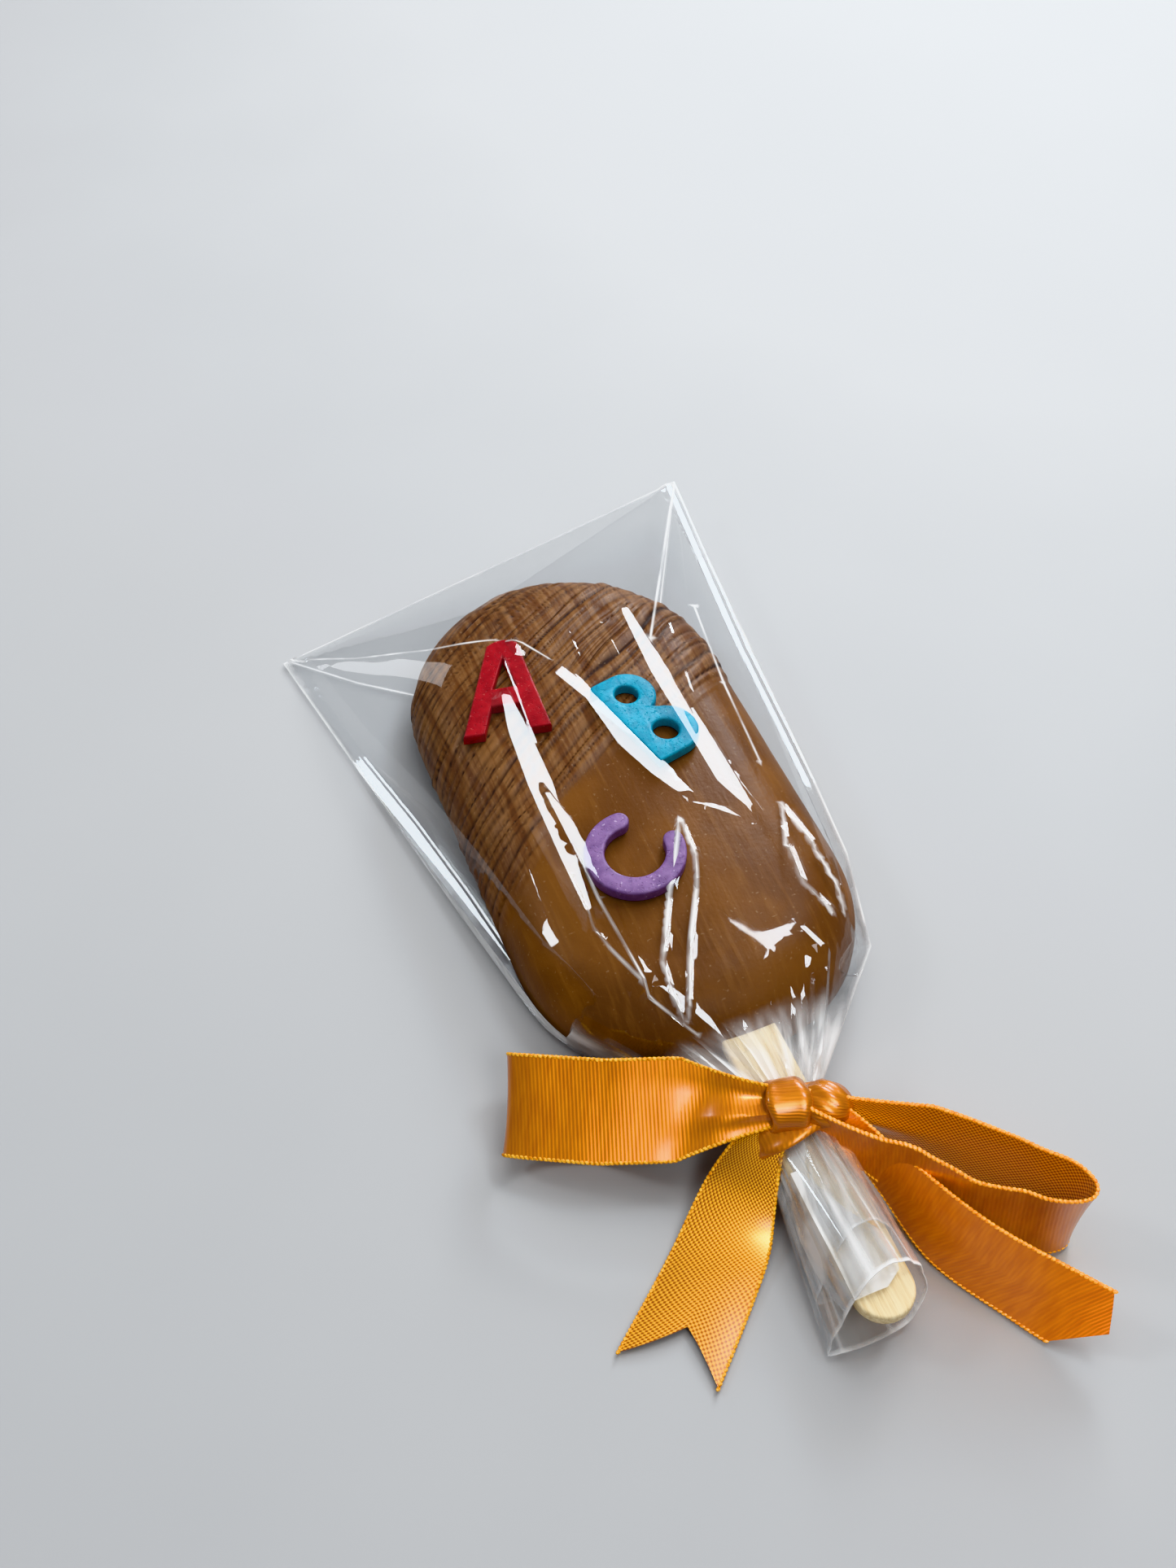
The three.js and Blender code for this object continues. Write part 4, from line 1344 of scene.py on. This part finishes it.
# %% The gathered mouth
MOUTH_COLUMNS = 216
MOUTH_ROWS = 46
MOUTH_PLEATS = 9
MOUTH_WALL = 0.12
MOUTH_LOBE = {"x": 0.6, "height": 6.4, "radius": 5.4}
MOUTH_CORNER = (-8.6, 0.6)
MOUTH_CORNER_TURN = math.radians(212)
MOUTH_PULL = 0.9
MOUTH_SLANT = 2.4
NECK_FILL = 0.93
OPENS_BY = 0.85
GATHER_AT_NECK = 0.26
GATHER_AT_RIM = 0.055
# painted highlights: the white laid on the pleats' crests and on the rim
PLEAT_GLINT = 0.7
RIM_GLINT = 1.3
OVER_FLOOR = (0.3, 0.5)  # the least height of its folds, and of its outline


def mouth_section(angle, spread):
    """The mouth's outline: a round lobe on the right, drawn out to a low point on the left."""
    radius = MOUTH_LOBE["radius"] * spread
    x = MOUTH_LOBE["x"] * spread + radius * np.cos(angle)
    z = MOUTH_LOBE["height"] + radius * np.sin(angle)
    pull = np.clip(np.cos(angle - MOUTH_CORNER_TURN), 0, 1) ** 3 * MOUTH_PULL
    x = x + (MOUTH_CORNER[0] * spread - x) * pull
    return x, np.maximum(z + (MOUTH_CORNER[1] - z) * pull, OVER_FLOOR[1])


def mouth_film(name, far, near, spread, seed, haze_and_glint):
    """A gathered tube of film from the neck to an open mouth, as one closed wall."""
    chance = np.random.default_rng(seed)
    angle = np.linspace(0, 2 * math.pi, MOUTH_COLUMNS, endpoint=False)
    phase = chance.uniform(0, 6)
    wobble = 0.5 * np.sin(2 * angle + phase) + 0.35 * np.sin(3 * angle + phase * 2)
    tent = np.abs(((angle * MOUTH_PLEATS / (2 * math.pi) + wobble * 0.5) % 1) * 2 - 1)
    neck_x = NECK_HALF_WIDTH * NECK_FILL * np.cos(angle)
    neck_z = NECK_HEIGHT + NECK_HALF_HEIGHT * NECK_FILL * np.sin(angle)
    mouth_x, mouth_z = mouth_section(angle, spread)
    rows = []
    for share in np.arange(MOUTH_ROWS) / (MOUTH_ROWS - 1):
        x = lerp(neck_x, mouth_x, share**OPENS_BY)
        z = lerp(neck_z, mouth_z, share**OPENS_BY)
        gather = GATHER_AT_NECK * (1 - share) ** 1.3 + GATHER_AT_RIM
        x = x.mean() + (x - x.mean()) * (1 - gather * tent)
        z = np.maximum(z.mean() + (z - z.mean()) * (1 - gather * tent), OVER_FLOOR[0])
        y = lerp(far, near, share) + MOUTH_SLANT * np.sin(angle + 0.2) * share
        rows.append(np.column_stack([x, y, z]))
    inside = []
    for ring in rows[::-1]:
        centre = ring.mean(0)
        reach = np.linalg.norm(ring - centre, axis=1, keepdims=True)
        inside.append(centre + (ring - centre) * (1 - MOUTH_WALL / reach))
    every = rows + inside
    faces = ring_faces(len(every), MOUTH_COLUMNS)
    mesh = make_mesh(name, np.concatenate(every), faces, weld=0.001)
    out = np.arange(MOUTH_ROWS) / (MOUTH_ROWS - 1)
    away = np.repeat(np.concatenate([out, out[::-1]]), MOUTH_COLUMNS)
    # milky haze that fades from the neck, then painted highlights on the pleat crests and the rim
    milky = lerp(1.0, haze_and_glint, np.clip(away * 3, 0, 1))
    milky += np.tile(np.clip(tent * 6 - 5, 0, 1), len(every)) * PLEAT_GLINT
    milky = np.where(away == 1, RIM_GLINT, milky)
    put_attribute(mesh, "haze_and_glint", milky[: len(mesh.vertices)])
    return mesh


outer_mouth = mouth_film("film_mouth", far=-54.5, near=-83.8, spread=1.0, seed=5, haze_and_glint=0.12)
inner_mouth = mouth_film("film_mouth_inner", far=-55.0, near=-77.5, spread=0.8, seed=8, haze_and_glint=0.5)
for mesh in (outer_mouth, inner_mouth):
    add_piece(mesh, film_finish, "film", crease=12)

# %% The tucked flap
FLAP_ROWS = [  # (y, left edge, right edge)
    (-65.5, -4.6, -3.0),
    (-68.5, -5.3, -1.6),
    (-72.5, -5.8, 0.2),
    (-76.0, -5.9, 2.6),
    (-79.0, -5.7, 3.2),
    (-81.5, -5.2, 2.6),
    (-83.0, -4.7, 0.2),
]
FLAP_BEND = -4.2  # x where it comes down beside the stick
FLAP_TOP = 8.9
FLAP_FOOT = 4.9
FLAP_THICK = 0.1
FLAP_WAVE = 0.12
FLAP_STEPS = 25
# the flap's milky share: the haze of a doubled layer, and partly a painted reflection
FLAP_CROWD = 0.75


def flap_film():
    """A corner of the bag that is tucked in at the mouth and lies over the stick's left side."""
    places = np.linspace(0, len(FLAP_ROWS) - 1, FLAP_STEPS)
    y, left, right = (np.interp(places, range(len(FLAP_ROWS)), row) for row in zip(*FLAP_ROWS))
    across = []
    for share in (0, 0.5):
        height = np.full(FLAP_STEPS, lerp(FLAP_FOOT, FLAP_TOP, share))
        across.append(np.column_stack([lerp(left, FLAP_BEND, share), y, height]))
    for share in (0, 0.25, 0.5, 0.75, 1):
        x = lerp(FLAP_BEND, right, share)
        wave = FLAP_WAVE * np.sin(x * 0.9 + y * 0.5) + FLAP_WAVE
        across.append(np.column_stack([x, y, FLAP_TOP + wave]))
    flat = np.concatenate(across)
    count = len(flat)
    top = grid_faces(len(across), FLAP_STEPS, False)
    under = [tuple(i + count for i in face[::-1]) for face in top]
    grid = np.arange(count).reshape(len(across), FLAP_STEPS)
    rim = np.concatenate([grid[0, :-1], grid[:-1, -1], grid[-1, :0:-1], grid[:0:-1, 0]])
    wall = [(a, a + count, b + count, b) for a, b in zip(rim, np.roll(rim, -1))]
    points = np.concatenate([flat, flat - (0, 0, FLAP_THICK)])
    mesh = make_mesh("film_flap", points, top + under + wall, weld=0.001)
    put_attribute(mesh, "haze_and_glint", np.full(len(mesh.vertices), FLAP_CROWD))
    return mesh


add_piece(flap_film(), film_finish, "film", crease=30)

# %% [markdown]
# ## The ribbon: its cloth
#
# Satin ribbon has a bright, finely ribbed face, a duller back woven like a basket, and corded edges.
# Its shine is coloured, so the shader is partly metallic, which keeps highlights golden instead
# of white. The weave follows the ribbon, so it reads the UV map, which is in millimetres here: u
# runs across the ribbon and v along it. A point attribute says which side is the back.


# %% Gold satin
RIB_PITCH = 0.5
BASKET_PITCH = (0.72, 0.62)  # across the ribbon and along it


def gold_satin():
    """Ribbed and bright on its face, woven like a basket and dull on its back, with shade painted between the
    ribs and into the weave's gaps, and a painted sheen on its cells.
    """
    material, wire, shader = new_material(
        "gold_satin", Metallic=0.7, Coat_Weight=1.0, Coat_Roughness=0.2, Coat_IOR=1.7
    )
    u, v, _ = wire.add("ShaderNodeTexCoord", output="UV").parts()
    back = wire.attribute("back_side").smooth(0.4, 0.6)
    rib = wire.math("SINE", (v + u * 0.12) * (2 * math.pi / RIB_PITCH)) * 0.5 + 0.5
    across, along = (2 * math.pi / pitch for pitch in BASKET_PITCH)
    cell = wire.math("SINE", v * along) * wire.math("SINE", u * across)
    basket = (cell * 0.5 + 0.5).smooth(0.15, 0.85)
    yarn = wire.noise(wire.joined(u * 0.2, v * 1.3), 1.0, 2, 0.5)
    weave = wire.add("ShaderNodeMix", {"data_type": "FLOAT"}, {0: back, 2: rib * 0.6, 3: basket})
    face = wire.colour(yarn.smooth(0.3, 0.7), srgb(190, 106, 2), srgb(206, 122, 5))
    # painted shade and sheen: the weave's gaps are darker and its raised cells pale gold
    dull = wire.colour(basket, srgb(150, 74, 2), srgb(236, 170, 60))
    colour = wire.colour(back, face, dull)
    # painted shade between the ribs of the face
    colour = wire.colour((1 - rib) * (1 - back) * 0.18, colour, srgb(168, 86, 2))
    rough = 0.44 + back * 0.04 + yarn * 0.06
    feed(shader, Base_Color=colour, Roughness=rough, Normal=bump(wire, weave, 0.07 * MM, 0.6))
    return material


def gold_thread():
    """The thread that whips the ribbon's edges: the same gold, paler and duller."""
    material, wire, shader = new_material("gold_thread", Metallic=0.35, Roughness=0.42)
    twist = wire.noise(object_mm(wire), 2.2, 2)
    colour = wire.colour(twist.smooth(0.3, 0.7), srgb(196, 118, 20), srgb(246, 190, 88))
    feed(shader, Base_Color=colour)
    return material


satin = gold_satin()
edge_thread = gold_thread()

# %% [markdown]
# ## The ribbon: its paths
#
# The bow is one ribbon, 13 millimetres wide. Each loop goes out from the knot, round and back.
# Each tail is drawn between two edges. They repeat the solid's own paths, with more steps, a
# little cupping and slow waves, because real ribbon is never flat across.

# %% Ribbon paths
RIBBON_WIDTH = 13
RIBBON_THICK = 0.34
KNOT = np.array([0.9, -58.7, 12.0])
LEFT_LOOP = {"heading": 154, "reach": 38.5, "belly": 2.4, "lean": 60, "rest": 6.5, "side": -1}
RIGHT_LOOP = {"heading": -43, "reach": 36.5, "belly": 3.3, "lean": 4, "rest": 7.2, "side": 1}
LOOP_PINCH = 0.3
LOOP_OPEN = 0.42
LOOP_DOWN = 0.67
LOOP_APART = 1.1
LEFT_TAIL = [
    [(-2.5, -56.5, 11.5), (0.5, -59.5, 11.5)],
    [(-8.2, -58.2, 8.2), (-3.2, -61.8, 9)],
    [(-13, -60.2, 3.6), (-6.4, -66.6, 4)],
    [(-19.7, -65.7, 0.9), (-9.2, -71.2, 1.6)],
    [(-25.2, -70.3, 0.6), (-13.6, -75.9, 0.6)],
    [(-31.6, -75.5, 0.6), (-22.1, -84.1, 0.6)],
]
RIGHT_TAIL = [
    [(4, -58.5, 12.5), (1, -60.5, 11)],
    [(6.6, -63.6, 12.4), (4.4, -64, 7.6)],
    [(9, -69.4, 11.8), (7.4, -70, 3)],
    [(14.6, -80.4, 11), (9.8, -80, 0.8)],
    [(22.5, -90, 9), (15.5, -90.3, 0.6)],
    [(28.4, -96.4, 7.2), (19.6, -96.6, 0.6)],
]


def loop_edges(heading, reach, belly, lean, rest, side):
    """A loop's two edges, as a function of the share of the way along it."""
    out = np.array([math.cos(math.radians(heading)), math.sin(math.radians(heading)), 0])
    beside = np.array([-out[1], out[0], 0])
    up = np.array([0, 0, 1])
    tip = math.radians(side * lean)
    upright = up * math.cos(tip) + beside * math.sin(tip)
    normal = beside * math.cos(tip) - up * math.sin(tip)

    def edges(t):
        far = math.sin(math.pi * t)
        half = RIBBON_WIDTH / 2 * lerp(LOOP_PINCH, 1, min(far / LOOP_OPEN, 1) ** 1.5)
        height = lerp(KNOT[2] - 0.5, rest, min(far / LOOP_DOWN, 1))
        middle = np.array([KNOT[0], KNOT[1], height]) + out * reach * far
        middle += normal * (belly * math.sin(2 * math.pi * t) + LOOP_APART * math.cos(math.pi * t))
        return middle + upright * half, middle - upright * half

    return edges


def spline_point(points, t):
    """A point on the smooth curve through a few points."""
    points = np.array(points, float)
    at = t * (len(points) - 1)
    i = min(int(at), len(points) - 2)
    s = at - i
    p1, p2 = points[i], points[i + 1]
    p0 = points[i - 1] if i else 2 * p1 - p2
    p3 = points[i + 2] if i + 2 < len(points) else 2 * p2 - p1
    curve = 2 * p1 + (p2 - p0) * s
    curve += (2 * p0 - 5 * p1 + 4 * p2 - p3) * s**2
    curve += (3 * p1 - p0 - 3 * p2 + p3) * s**3
    return 0.5 * curve


def tail_edges(pairs):
    """A tail's two edges, as a function of the share of the way along it."""
    first, second = zip(*pairs)
    return lambda t: (spline_point(first, t), spline_point(second, t))


# %% Weaving a strip
STRIP_COLUMNS = 12
STRIP_STEPS = 110
LOOK_ALONG = 0.01


def cut_share(cut, side):
    """A ribbon's length at a share of the way from its middle to its side.

    A cut above 0 is a notch in the middle, and one below 0 leaves a point there.
    """
    return 1 - cut * (1 - side) if cut > 0 else 1 + cut * side


def strip_rows(edges, cut, cup, wave, ridges, pleats):
    """Rows of points across a ribbon, each with the side that its face looks to."""
    rows, faces = [], []
    for i in range(STRIP_STEPS + 1):
        row, out = [], []
        for u in np.arange(STRIP_COLUMNS + 1) / STRIP_COLUMNS:
            t = i / STRIP_STEPS * cut_share(cut, abs(2 * u - 1))
            a, b = edges(t)
            a0, b0 = edges(max(t - LOOK_ALONG, 0))
            a1, b1 = edges(min(t + LOOK_ALONG, 1))
            along = (a1 + b1 - a0 - b0) / np.linalg.norm(a1 + b1 - a0 - b0)
            face = np.cross(b - a, along)
            face /= np.linalg.norm(face)
            bulge = cup * (1 - (2 * u - 1) ** 2) + wave * math.sin(11 * t + 2.2 * u) * math.sin(math.pi * t)
            for at, width, height, slant in ridges:
                bulge += height * math.exp(-(((t - at - slant * (u - 0.5)) / width) ** 2))
            for at, width, height, reach in pleats:
                bulge += height * math.exp(-(((u - at) / width) ** 2)) * max(1 - t / reach, 0)
            row.append(a + (b - a) * u + face * bulge)
            out.append(face)
        rows.append(row)
        faces.append(out)
    return np.array(rows), np.array(faces)


def ribbon_strip(name, edges, cut=0, cup=0, wave=0, ridges=(), pleats=(), satin_in_front=True):
    """A strip of ribbon, its middle surface, and the size of the piece that it was cut from."""
    middle, out = strip_rows(edges, cut, cup, wave, ridges, pleats)
    length = np.linalg.norm(np.diff(middle[:, STRIP_COLUMNS // 2], axis=0), axis=1)
    along = np.concatenate([[0], np.cumsum(length)])
    front = middle + out * RIBBON_THICK / 2
    rear = (middle - out * RIBBON_THICK / 2)[:, ::-1]
    rows = np.concatenate([front, rear], axis=1)
    width = rows.shape[1]
    faces = grid_faces(len(rows), width, True)
    for first, turned in ((0, False), ((len(rows) - 1) * width, True)):
        for c in range(STRIP_COLUMNS):
            quad = (first + c, first + c + 1, first + width - 2 - c, first + width - 1 - c)
            faces.append(quad[::-1] if turned else quad)
    mesh = make_mesh(name, rows.reshape(-1, 3), faces)
    across = np.linspace(0, RIBBON_WIDTH, STRIP_COLUMNS + 1)
    stretch = cut_share(cut, np.abs(np.linspace(-1, 1, STRIP_COLUMNS + 1))) / (1 - max(cut, 0))
    across, stretch = (np.concatenate([values, values[::-1]]) for values in (across, stretch))
    put_uv(mesh, width, lambda row, column: (across[column], along[row] * stretch[column]))
    rear_side = np.tile(np.arange(width) > STRIP_COLUMNS, len(rows))
    put_attribute(mesh, "back_side", rear_side if satin_in_front else ~rear_side)
    longest = float(along[-1] * stretch.max())
    area = float(RIBBON_WIDTH * along[-1] * stretch.mean())
    print(name, "cut from", RIBBON_WIDTH, "by", round(longest, 1), "mm, flat area", round(area), "mm2")
    return mesh, middle, {"flat": (RIBBON_WIDTH * MM, longest * MM), "area": area * MM * MM}


# %% [markdown]
# ## The corded edge
#
# Both edges of the ribbon are whipped with thread, so they look like a row of tiny slanting
# beads. Geometry Nodes sets a bead at every pitch along each edge and turns it to the edge's
# direction. A bead has few faces, because there are hundreds of them.

# %% The bead tree
BEAD_PITCH = 0.62
BEAD_RADIUS = 0.27
BEAD_SLANT = math.radians(32)
BEAD_LENGTH = 1.7  # times its width


def bead_tree(material):
    wire, given = start_tree("corded_edge", "Pitch", "Radius")
    line = wire.add("GeometryNodeMeshToCurve", {}, {"Mesh": given["Geometry"]})
    values = {"Curve": line, "Length": given["Pitch"]}
    placed = wire.add("GeometryNodeCurveToPoints", {"mode": "LENGTH"}, values).socket.node
    values = {"Segments": 7, "Rings": 5, "Radius": given["Radius"]}
    bead = wire.add("GeometryNodeMeshUVSphere", {}, values)
    values = {"Geometry": bead, "Scale": (1, 1, BEAD_LENGTH)}
    stretched = wire.add("GeometryNodeTransform", {}, values)
    values = {"Geometry": stretched, "Rotation": (BEAD_SLANT, 0, 0)}
    slanted = wire.add("GeometryNodeTransform", {}, values)
    values = {label: Wire(wire.tree, placed.outputs[label]) for label in ("Points", "Rotation")}
    values["Instance"] = slanted
    end_tree(wire, wire.add("GeometryNodeInstanceOnPoints", {}, values), material)
    return wire


def edge_beads(name, middle, tree):
    """Beads along both long edges of a strip."""
    points = np.concatenate([middle[:, 0], middle[:, -1]]) * MM
    count = len(middle)
    edges = [(i, i + 1) for i in range(2 * count - 1) if i != count - 1]
    mesh = bpy.data.meshes.new("edge_lines")
    mesh.from_pydata(points.tolist(), edges, [])
    return run_tree(name, mesh, tree, {"Pitch": BEAD_PITCH * MM, "Radius": BEAD_RADIUS * MM})


beads = bead_tree(edge_thread)

# %% Loops and tails
# Ridges cross the ribbon, and each has its place along it, its width, its height in millimetres
# and its slant. Pleats run along it from the knot, and each has its place across it, its width,
# its height and its reach.
LEFT_LOOP_SHAPE = {
    "cup": 0.3,
    "wave": 0.2,
    "satin_in_front": False,
    "ridges": [(0.225, 0.055, -0.8, 0.02), (0.12, 0.02, 0.5, 0.03), (0.08, 0.02, -0.5, 0.02)],
    "pleats": [(0.64, 0.13, -1.5, 0.16), (0.25, 0.1, 0.5, 0.2)],
}
RIGHT_LOOP_SHAPE = {
    "cup": 0.25,
    "wave": 0.3,
    "satin_in_front": False,
    "ridges": [(0.7, 0.03, 0.5, -0.03), (0.8, 0.02, -0.4, 0.02), (0.3, 0.04, 0.4, 0), (0.88, 0.02, 0.4, 0)],
    "pleats": [(0.5, 0.15, 0.9, 0.2)],
}
STRIPS = [
    ("left_loop", loop_edges(**LEFT_LOOP), LEFT_LOOP_SHAPE, "folded"),
    ("right_loop", loop_edges(**RIGHT_LOOP), RIGHT_LOOP_SHAPE, "folded"),
    ("left_tail", tail_edges(LEFT_TAIL), {"cut": 0.11, "cup": -0.5, "wave": 0.15}, "hung"),
    ("right_tail", tail_edges(RIGHT_TAIL), {"cut": -0.1, "cup": 0.3, "wave": 0.15}, "hung"),
]
strips = []
for name, edges, shape, held in STRIPS:
    mesh, middle, cut_size = ribbon_strip(name, edges, **shape)
    strip = add_piece(mesh, satin, "satin", crease=50)
    cord_edge = add_piece(edge_beads(name + "_edge", middle, beads), edge_thread, "satin")
    strips.append((strip, cord_edge, cut_size, held))
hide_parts("bow")

# %% [markdown]
# ## The knot
#
# Where the loops cross, the ribbon goes round them once. It is squeezed, so it shows as a narrow
# smooth band with lengthwise creases, and next to it as a twisted lump. A third turn holds the
# film round the stick. All of them are closed rings or lumps of the same cloth.

# %% Knot pieces
BAND_STEPS = 72
BAND_COLUMNS = 56
BAND_CREASE = 0.16  # how deep its creases are, as a share of its thickness
BAND_SQUEEZE = 0.12
BAND_SQUARE = 0.6
LUMP_ROWS = 44
LUMP_COLUMNS = 64
LUMP_CREASE = 0.09
LUMP_UV = 0.3  # millimetres of cloth from point to point
BAND_UV = 0.35


def knot_mesh(name, rows, faces, uv_place, weld=0.0):
    """A knot piece from rows of points, with the satin's face outwards."""
    mesh = make_mesh(name, np.concatenate(rows), faces, weld)
    put_uv(mesh, len(rows[0]), uv_place)
    put_attribute(mesh, "back_side", np.zeros(len(mesh.vertices)))
    return mesh


def band(name, centre, axis_turn, reach, rise, width, thick, creases, seed):
    """A creased band in an upright oval ring round a centre, its axis turned from +X."""
    chance = np.random.default_rng(seed)
    axis = np.array([math.cos(axis_turn), math.sin(axis_turn), 0])
    side = np.array([-axis[1], axis[0], 0])
    up = np.array([0, 0, 1])
    section = np.linspace(0, 2 * math.pi, BAND_COLUMNS, endpoint=False)
    phase = chance.uniform(0, 6)
    rows = []
    for turn in np.linspace(0, 2 * math.pi, BAND_STEPS, endpoint=False):
        away = side * math.cos(turn) * reach + up * math.sin(turn) * rise
        outward = away / np.linalg.norm(away)
        middle = np.array(centre) + away
        fold = creases * np.cos(section) * math.pi + phase + 0.6 * math.sin(turn * 2)
        creased = np.where(np.sin(section) > 0, 1 + BAND_CREASE * np.sin(fold), 1)
        squeeze = 1 - BAND_SQUEEZE * math.sin(turn * 3 + phase)
        square = np.sign(np.cos(section)) * np.abs(np.cos(section)) ** BAND_SQUARE
        flat = square * width / 2 * squeeze
        proud = np.sin(section) * thick / 2 * creased
        rows.append(middle + axis * flat[:, None] + outward * proud[:, None])
    faces = ring_faces(BAND_STEPS, BAND_COLUMNS)
    around = 2 * RIBBON_WIDTH / BAND_COLUMNS
    return knot_mesh(name, rows, faces, lambda row, column: (column * around, row * BAND_UV), weld=0.001)


def lump(name, centre, size, turn, seed):
    """A twisted knuckle of ribbon: a round lump with slanting creases."""
    chance = np.random.default_rng(seed)
    phase = chance.uniform(0, 6)
    cos, sin = math.cos(turn), math.sin(turn)
    turned = np.array([[cos, sin, 0], [-sin, cos, 0], [0, 0, 1]])
    angle = np.linspace(0, 2 * math.pi, LUMP_COLUMNS, endpoint=False)
    rows = []
    for polar in np.linspace(0.02, math.pi - 0.02, LUMP_ROWS):
        swirl = np.abs(np.sin(4 * angle + polar * 3.2 + phase)) * math.sin(polar)
        radius = math.sin(polar) * (1 + LUMP_CREASE * swirl - 0.05 * np.sin(2 * angle + phase))
        x = np.full(LUMP_COLUMNS, math.cos(polar))
        ring = np.column_stack([x, np.cos(angle) * radius, np.sin(angle) * radius]) * size
        rows.append(ring @ turned + centre)
    first = range(LUMP_COLUMNS)
    last = (LUMP_ROWS - 1) * LUMP_COLUMNS
    faces = grid_faces(LUMP_ROWS, LUMP_COLUMNS, True)
    faces += [tuple(reversed(first)), tuple(last + i for i in first)]
    return knot_mesh(name, rows, faces, lambda row, column: (row * LUMP_UV, column * LUMP_UV))


wrap = band(
    "neck_wrap",
    centre=(0, KNOT[1], NECK_HEIGHT),
    axis_turn=math.pi / 2,
    reach=NECK_HALF_WIDTH + 0.9,
    rise=NECK_HALF_HEIGHT + 0.9,
    width=7.5,
    thick=1.2,
    creases=2.5,
    seed=2,
)
knot_band = band(
    "knot_band",
    centre=KNOT + (-2.0, 1.0, -0.8),
    axis_turn=math.radians(-15),
    reach=3.0,
    rise=2.6,
    width=5.4,
    thick=1.3,
    creases=1.5,
    seed=4,
)
knuckle = lump(
    "knot_lump", centre=KNOT + (2.5, -0.9, -0.3), size=(3.7, 2.9, 2.3), turn=math.radians(-25), seed=6
)
knot_pieces = [add_piece(mesh, satin, "satin") for mesh in (wrap, knot_band, knuckle)]

# %% [markdown]
# ## What the ribbon was cut to
#
# Each strip's flat size, the one it was cut to, is worked out with it: the ribbon's width, the
# length that its own path measures, and its flat area, as the tails' ends are cut at a slant. Here
# each strip is only put in a list with its corded edge, and the first one with the knot too.

# %% Listing each strip's pieces
for index, (strip, cord_edge, cut_size, held) in enumerate(strips):
    with_pieces = [cord_edge] + (knot_pieces if index == 0 else [])

# %% [markdown]
# ## The floor and the lights
#
# The photograph is lit from behind and from the right by large windows, which the film mirrors,
# and one more to the left shows along the bag's left edge. Wide soft lights fill the room. Satin
# throws light about between its own folds, far more than a plain shader does. Three coloured
# lights that reach only the ribbon stand for that. The floor is plain and pale, and not quite
# white, so that the white reflections still show against it.


# %% Floor and lights
FLOOR_HALF = 1500


def plain_floor():
    material, wire, shader = new_material("plain_floor", Roughness=0.75)
    grain = wire.noise(object_mm(wire), 0.02, 2)
    feed(shader, Base_Color=wire.colour(grain, (0.42, 0.42, 0.425, 1), (0.45, 0.45, 0.455, 1)))
    corners = [(x * FLOOR_HALF, y * FLOOR_HALF, 0) for x, y in ((-1, -1), (1, -1), (1, 1), (-1, 1))]
    mesh = make_mesh("floor", corners, [(0, 1, 2, 3)])
    mesh.materials.append(material)
    add_object("floor", mesh)


def softbox(name, turn, rise, size, power, distance=WINDOW_DISTANCE, mirrored=True, colour=(1, 1, 1)):
    """A square light that faces the object. One that isn't mirrored stays out of the film."""
    light = bpy.data.lights.new(name, "AREA")
    light.color = colour
    light.shape = "RECTANGLE"
    light.size = light.size_y = size * MM
    light.energy = power
    lamp = add_object(name, light)
    away = light_direction(turn, rise)
    lamp.location = away * distance * MM
    lamp.rotation_euler = away.to_track_quat("Z", "Y").to_euler()
    lamp.visible_camera = False
    lamp.visible_glossy = mirrored
    return lamp


def keep_to(lamp, name, pieces):
    """Lets a lamp light only these pieces."""
    group = bpy.data.collections.new(name)
    for piece in pieces:
        group.objects.link(piece)
    lamp.light_linking.receiver_collection = group


plain_floor()

# %% The windows and the room
BRIGHT = 17  # of the mirrored windows, in watts for each square metre and steradian
SKY = (0.86, 0.94, 1.0)
WINDOWS = {"window": WINDOW, "low_window": LOW_WINDOW, "high_window": HIGH_WINDOW, "side_window": SIDE_WINDOW}
for name, light in WINDOWS.items():
    softbox(name, **light, power=BRIGHT * math.pi * (light["size"] * MM) ** 2, colour=SKY)
softbox("key", WINDOW["turn"], WINDOW["rise"] + 12, size=420, power=2.3, mirrored=False)
softbox("overhead", turn=0, rise=82, size=700, power=2.5, distance=900, mirrored=False)
softbox("left_glow", turn=-22, rise=23, size=120, power=0.15, distance=700)

# %% The lights for the ribbon alone
SHINE_FROM = {"turn": 163, "rise": 63}
ribbon_pieces = [piece for strip, cord_edge, _, _ in strips for piece in (strip, cord_edge)]
right_pieces = [piece for piece in ribbon_pieces if piece.name.startswith("right")]
shine = softbox("ribbon_shine", **SHINE_FROM, size=130, power=2.8, colour=(0.95, 1, 0.25))
bounce = softbox("ribbon_bounce", turn=-137, rise=60, size=300, power=3.6, colour=(1, 0.55, 0.2))
glow = softbox("knot_glow", **SHINE_FROM, size=220, power=1.3, colour=(0.95, 1, 0.4))
keep_to(shine, "shine_on_ribbon", ribbon_pieces)
keep_to(bounce, "bounce_on_ribbon", right_pieces)
keep_to(glow, "glow_on_knot", knot_pieces)

# %% The light from all around
AROUND_COLOUR = (0.95, 0.97, 1, 1)
AROUND_STRENGTH = 0.22

softbox("room", turn=172, rise=52, size=220, power=0.9, distance=700)
world = bpy.data.worlds.new("studio")
world.use_nodes = True
around = world.node_tree.nodes["Background"].inputs
around["Color"].default_value = AROUND_COLOUR
around["Strength"].default_value = AROUND_STRENGTH
bpy.context.scene.world = world
bpy.context.scene.view_settings.view_transform = "Khronos PBR Neutral"
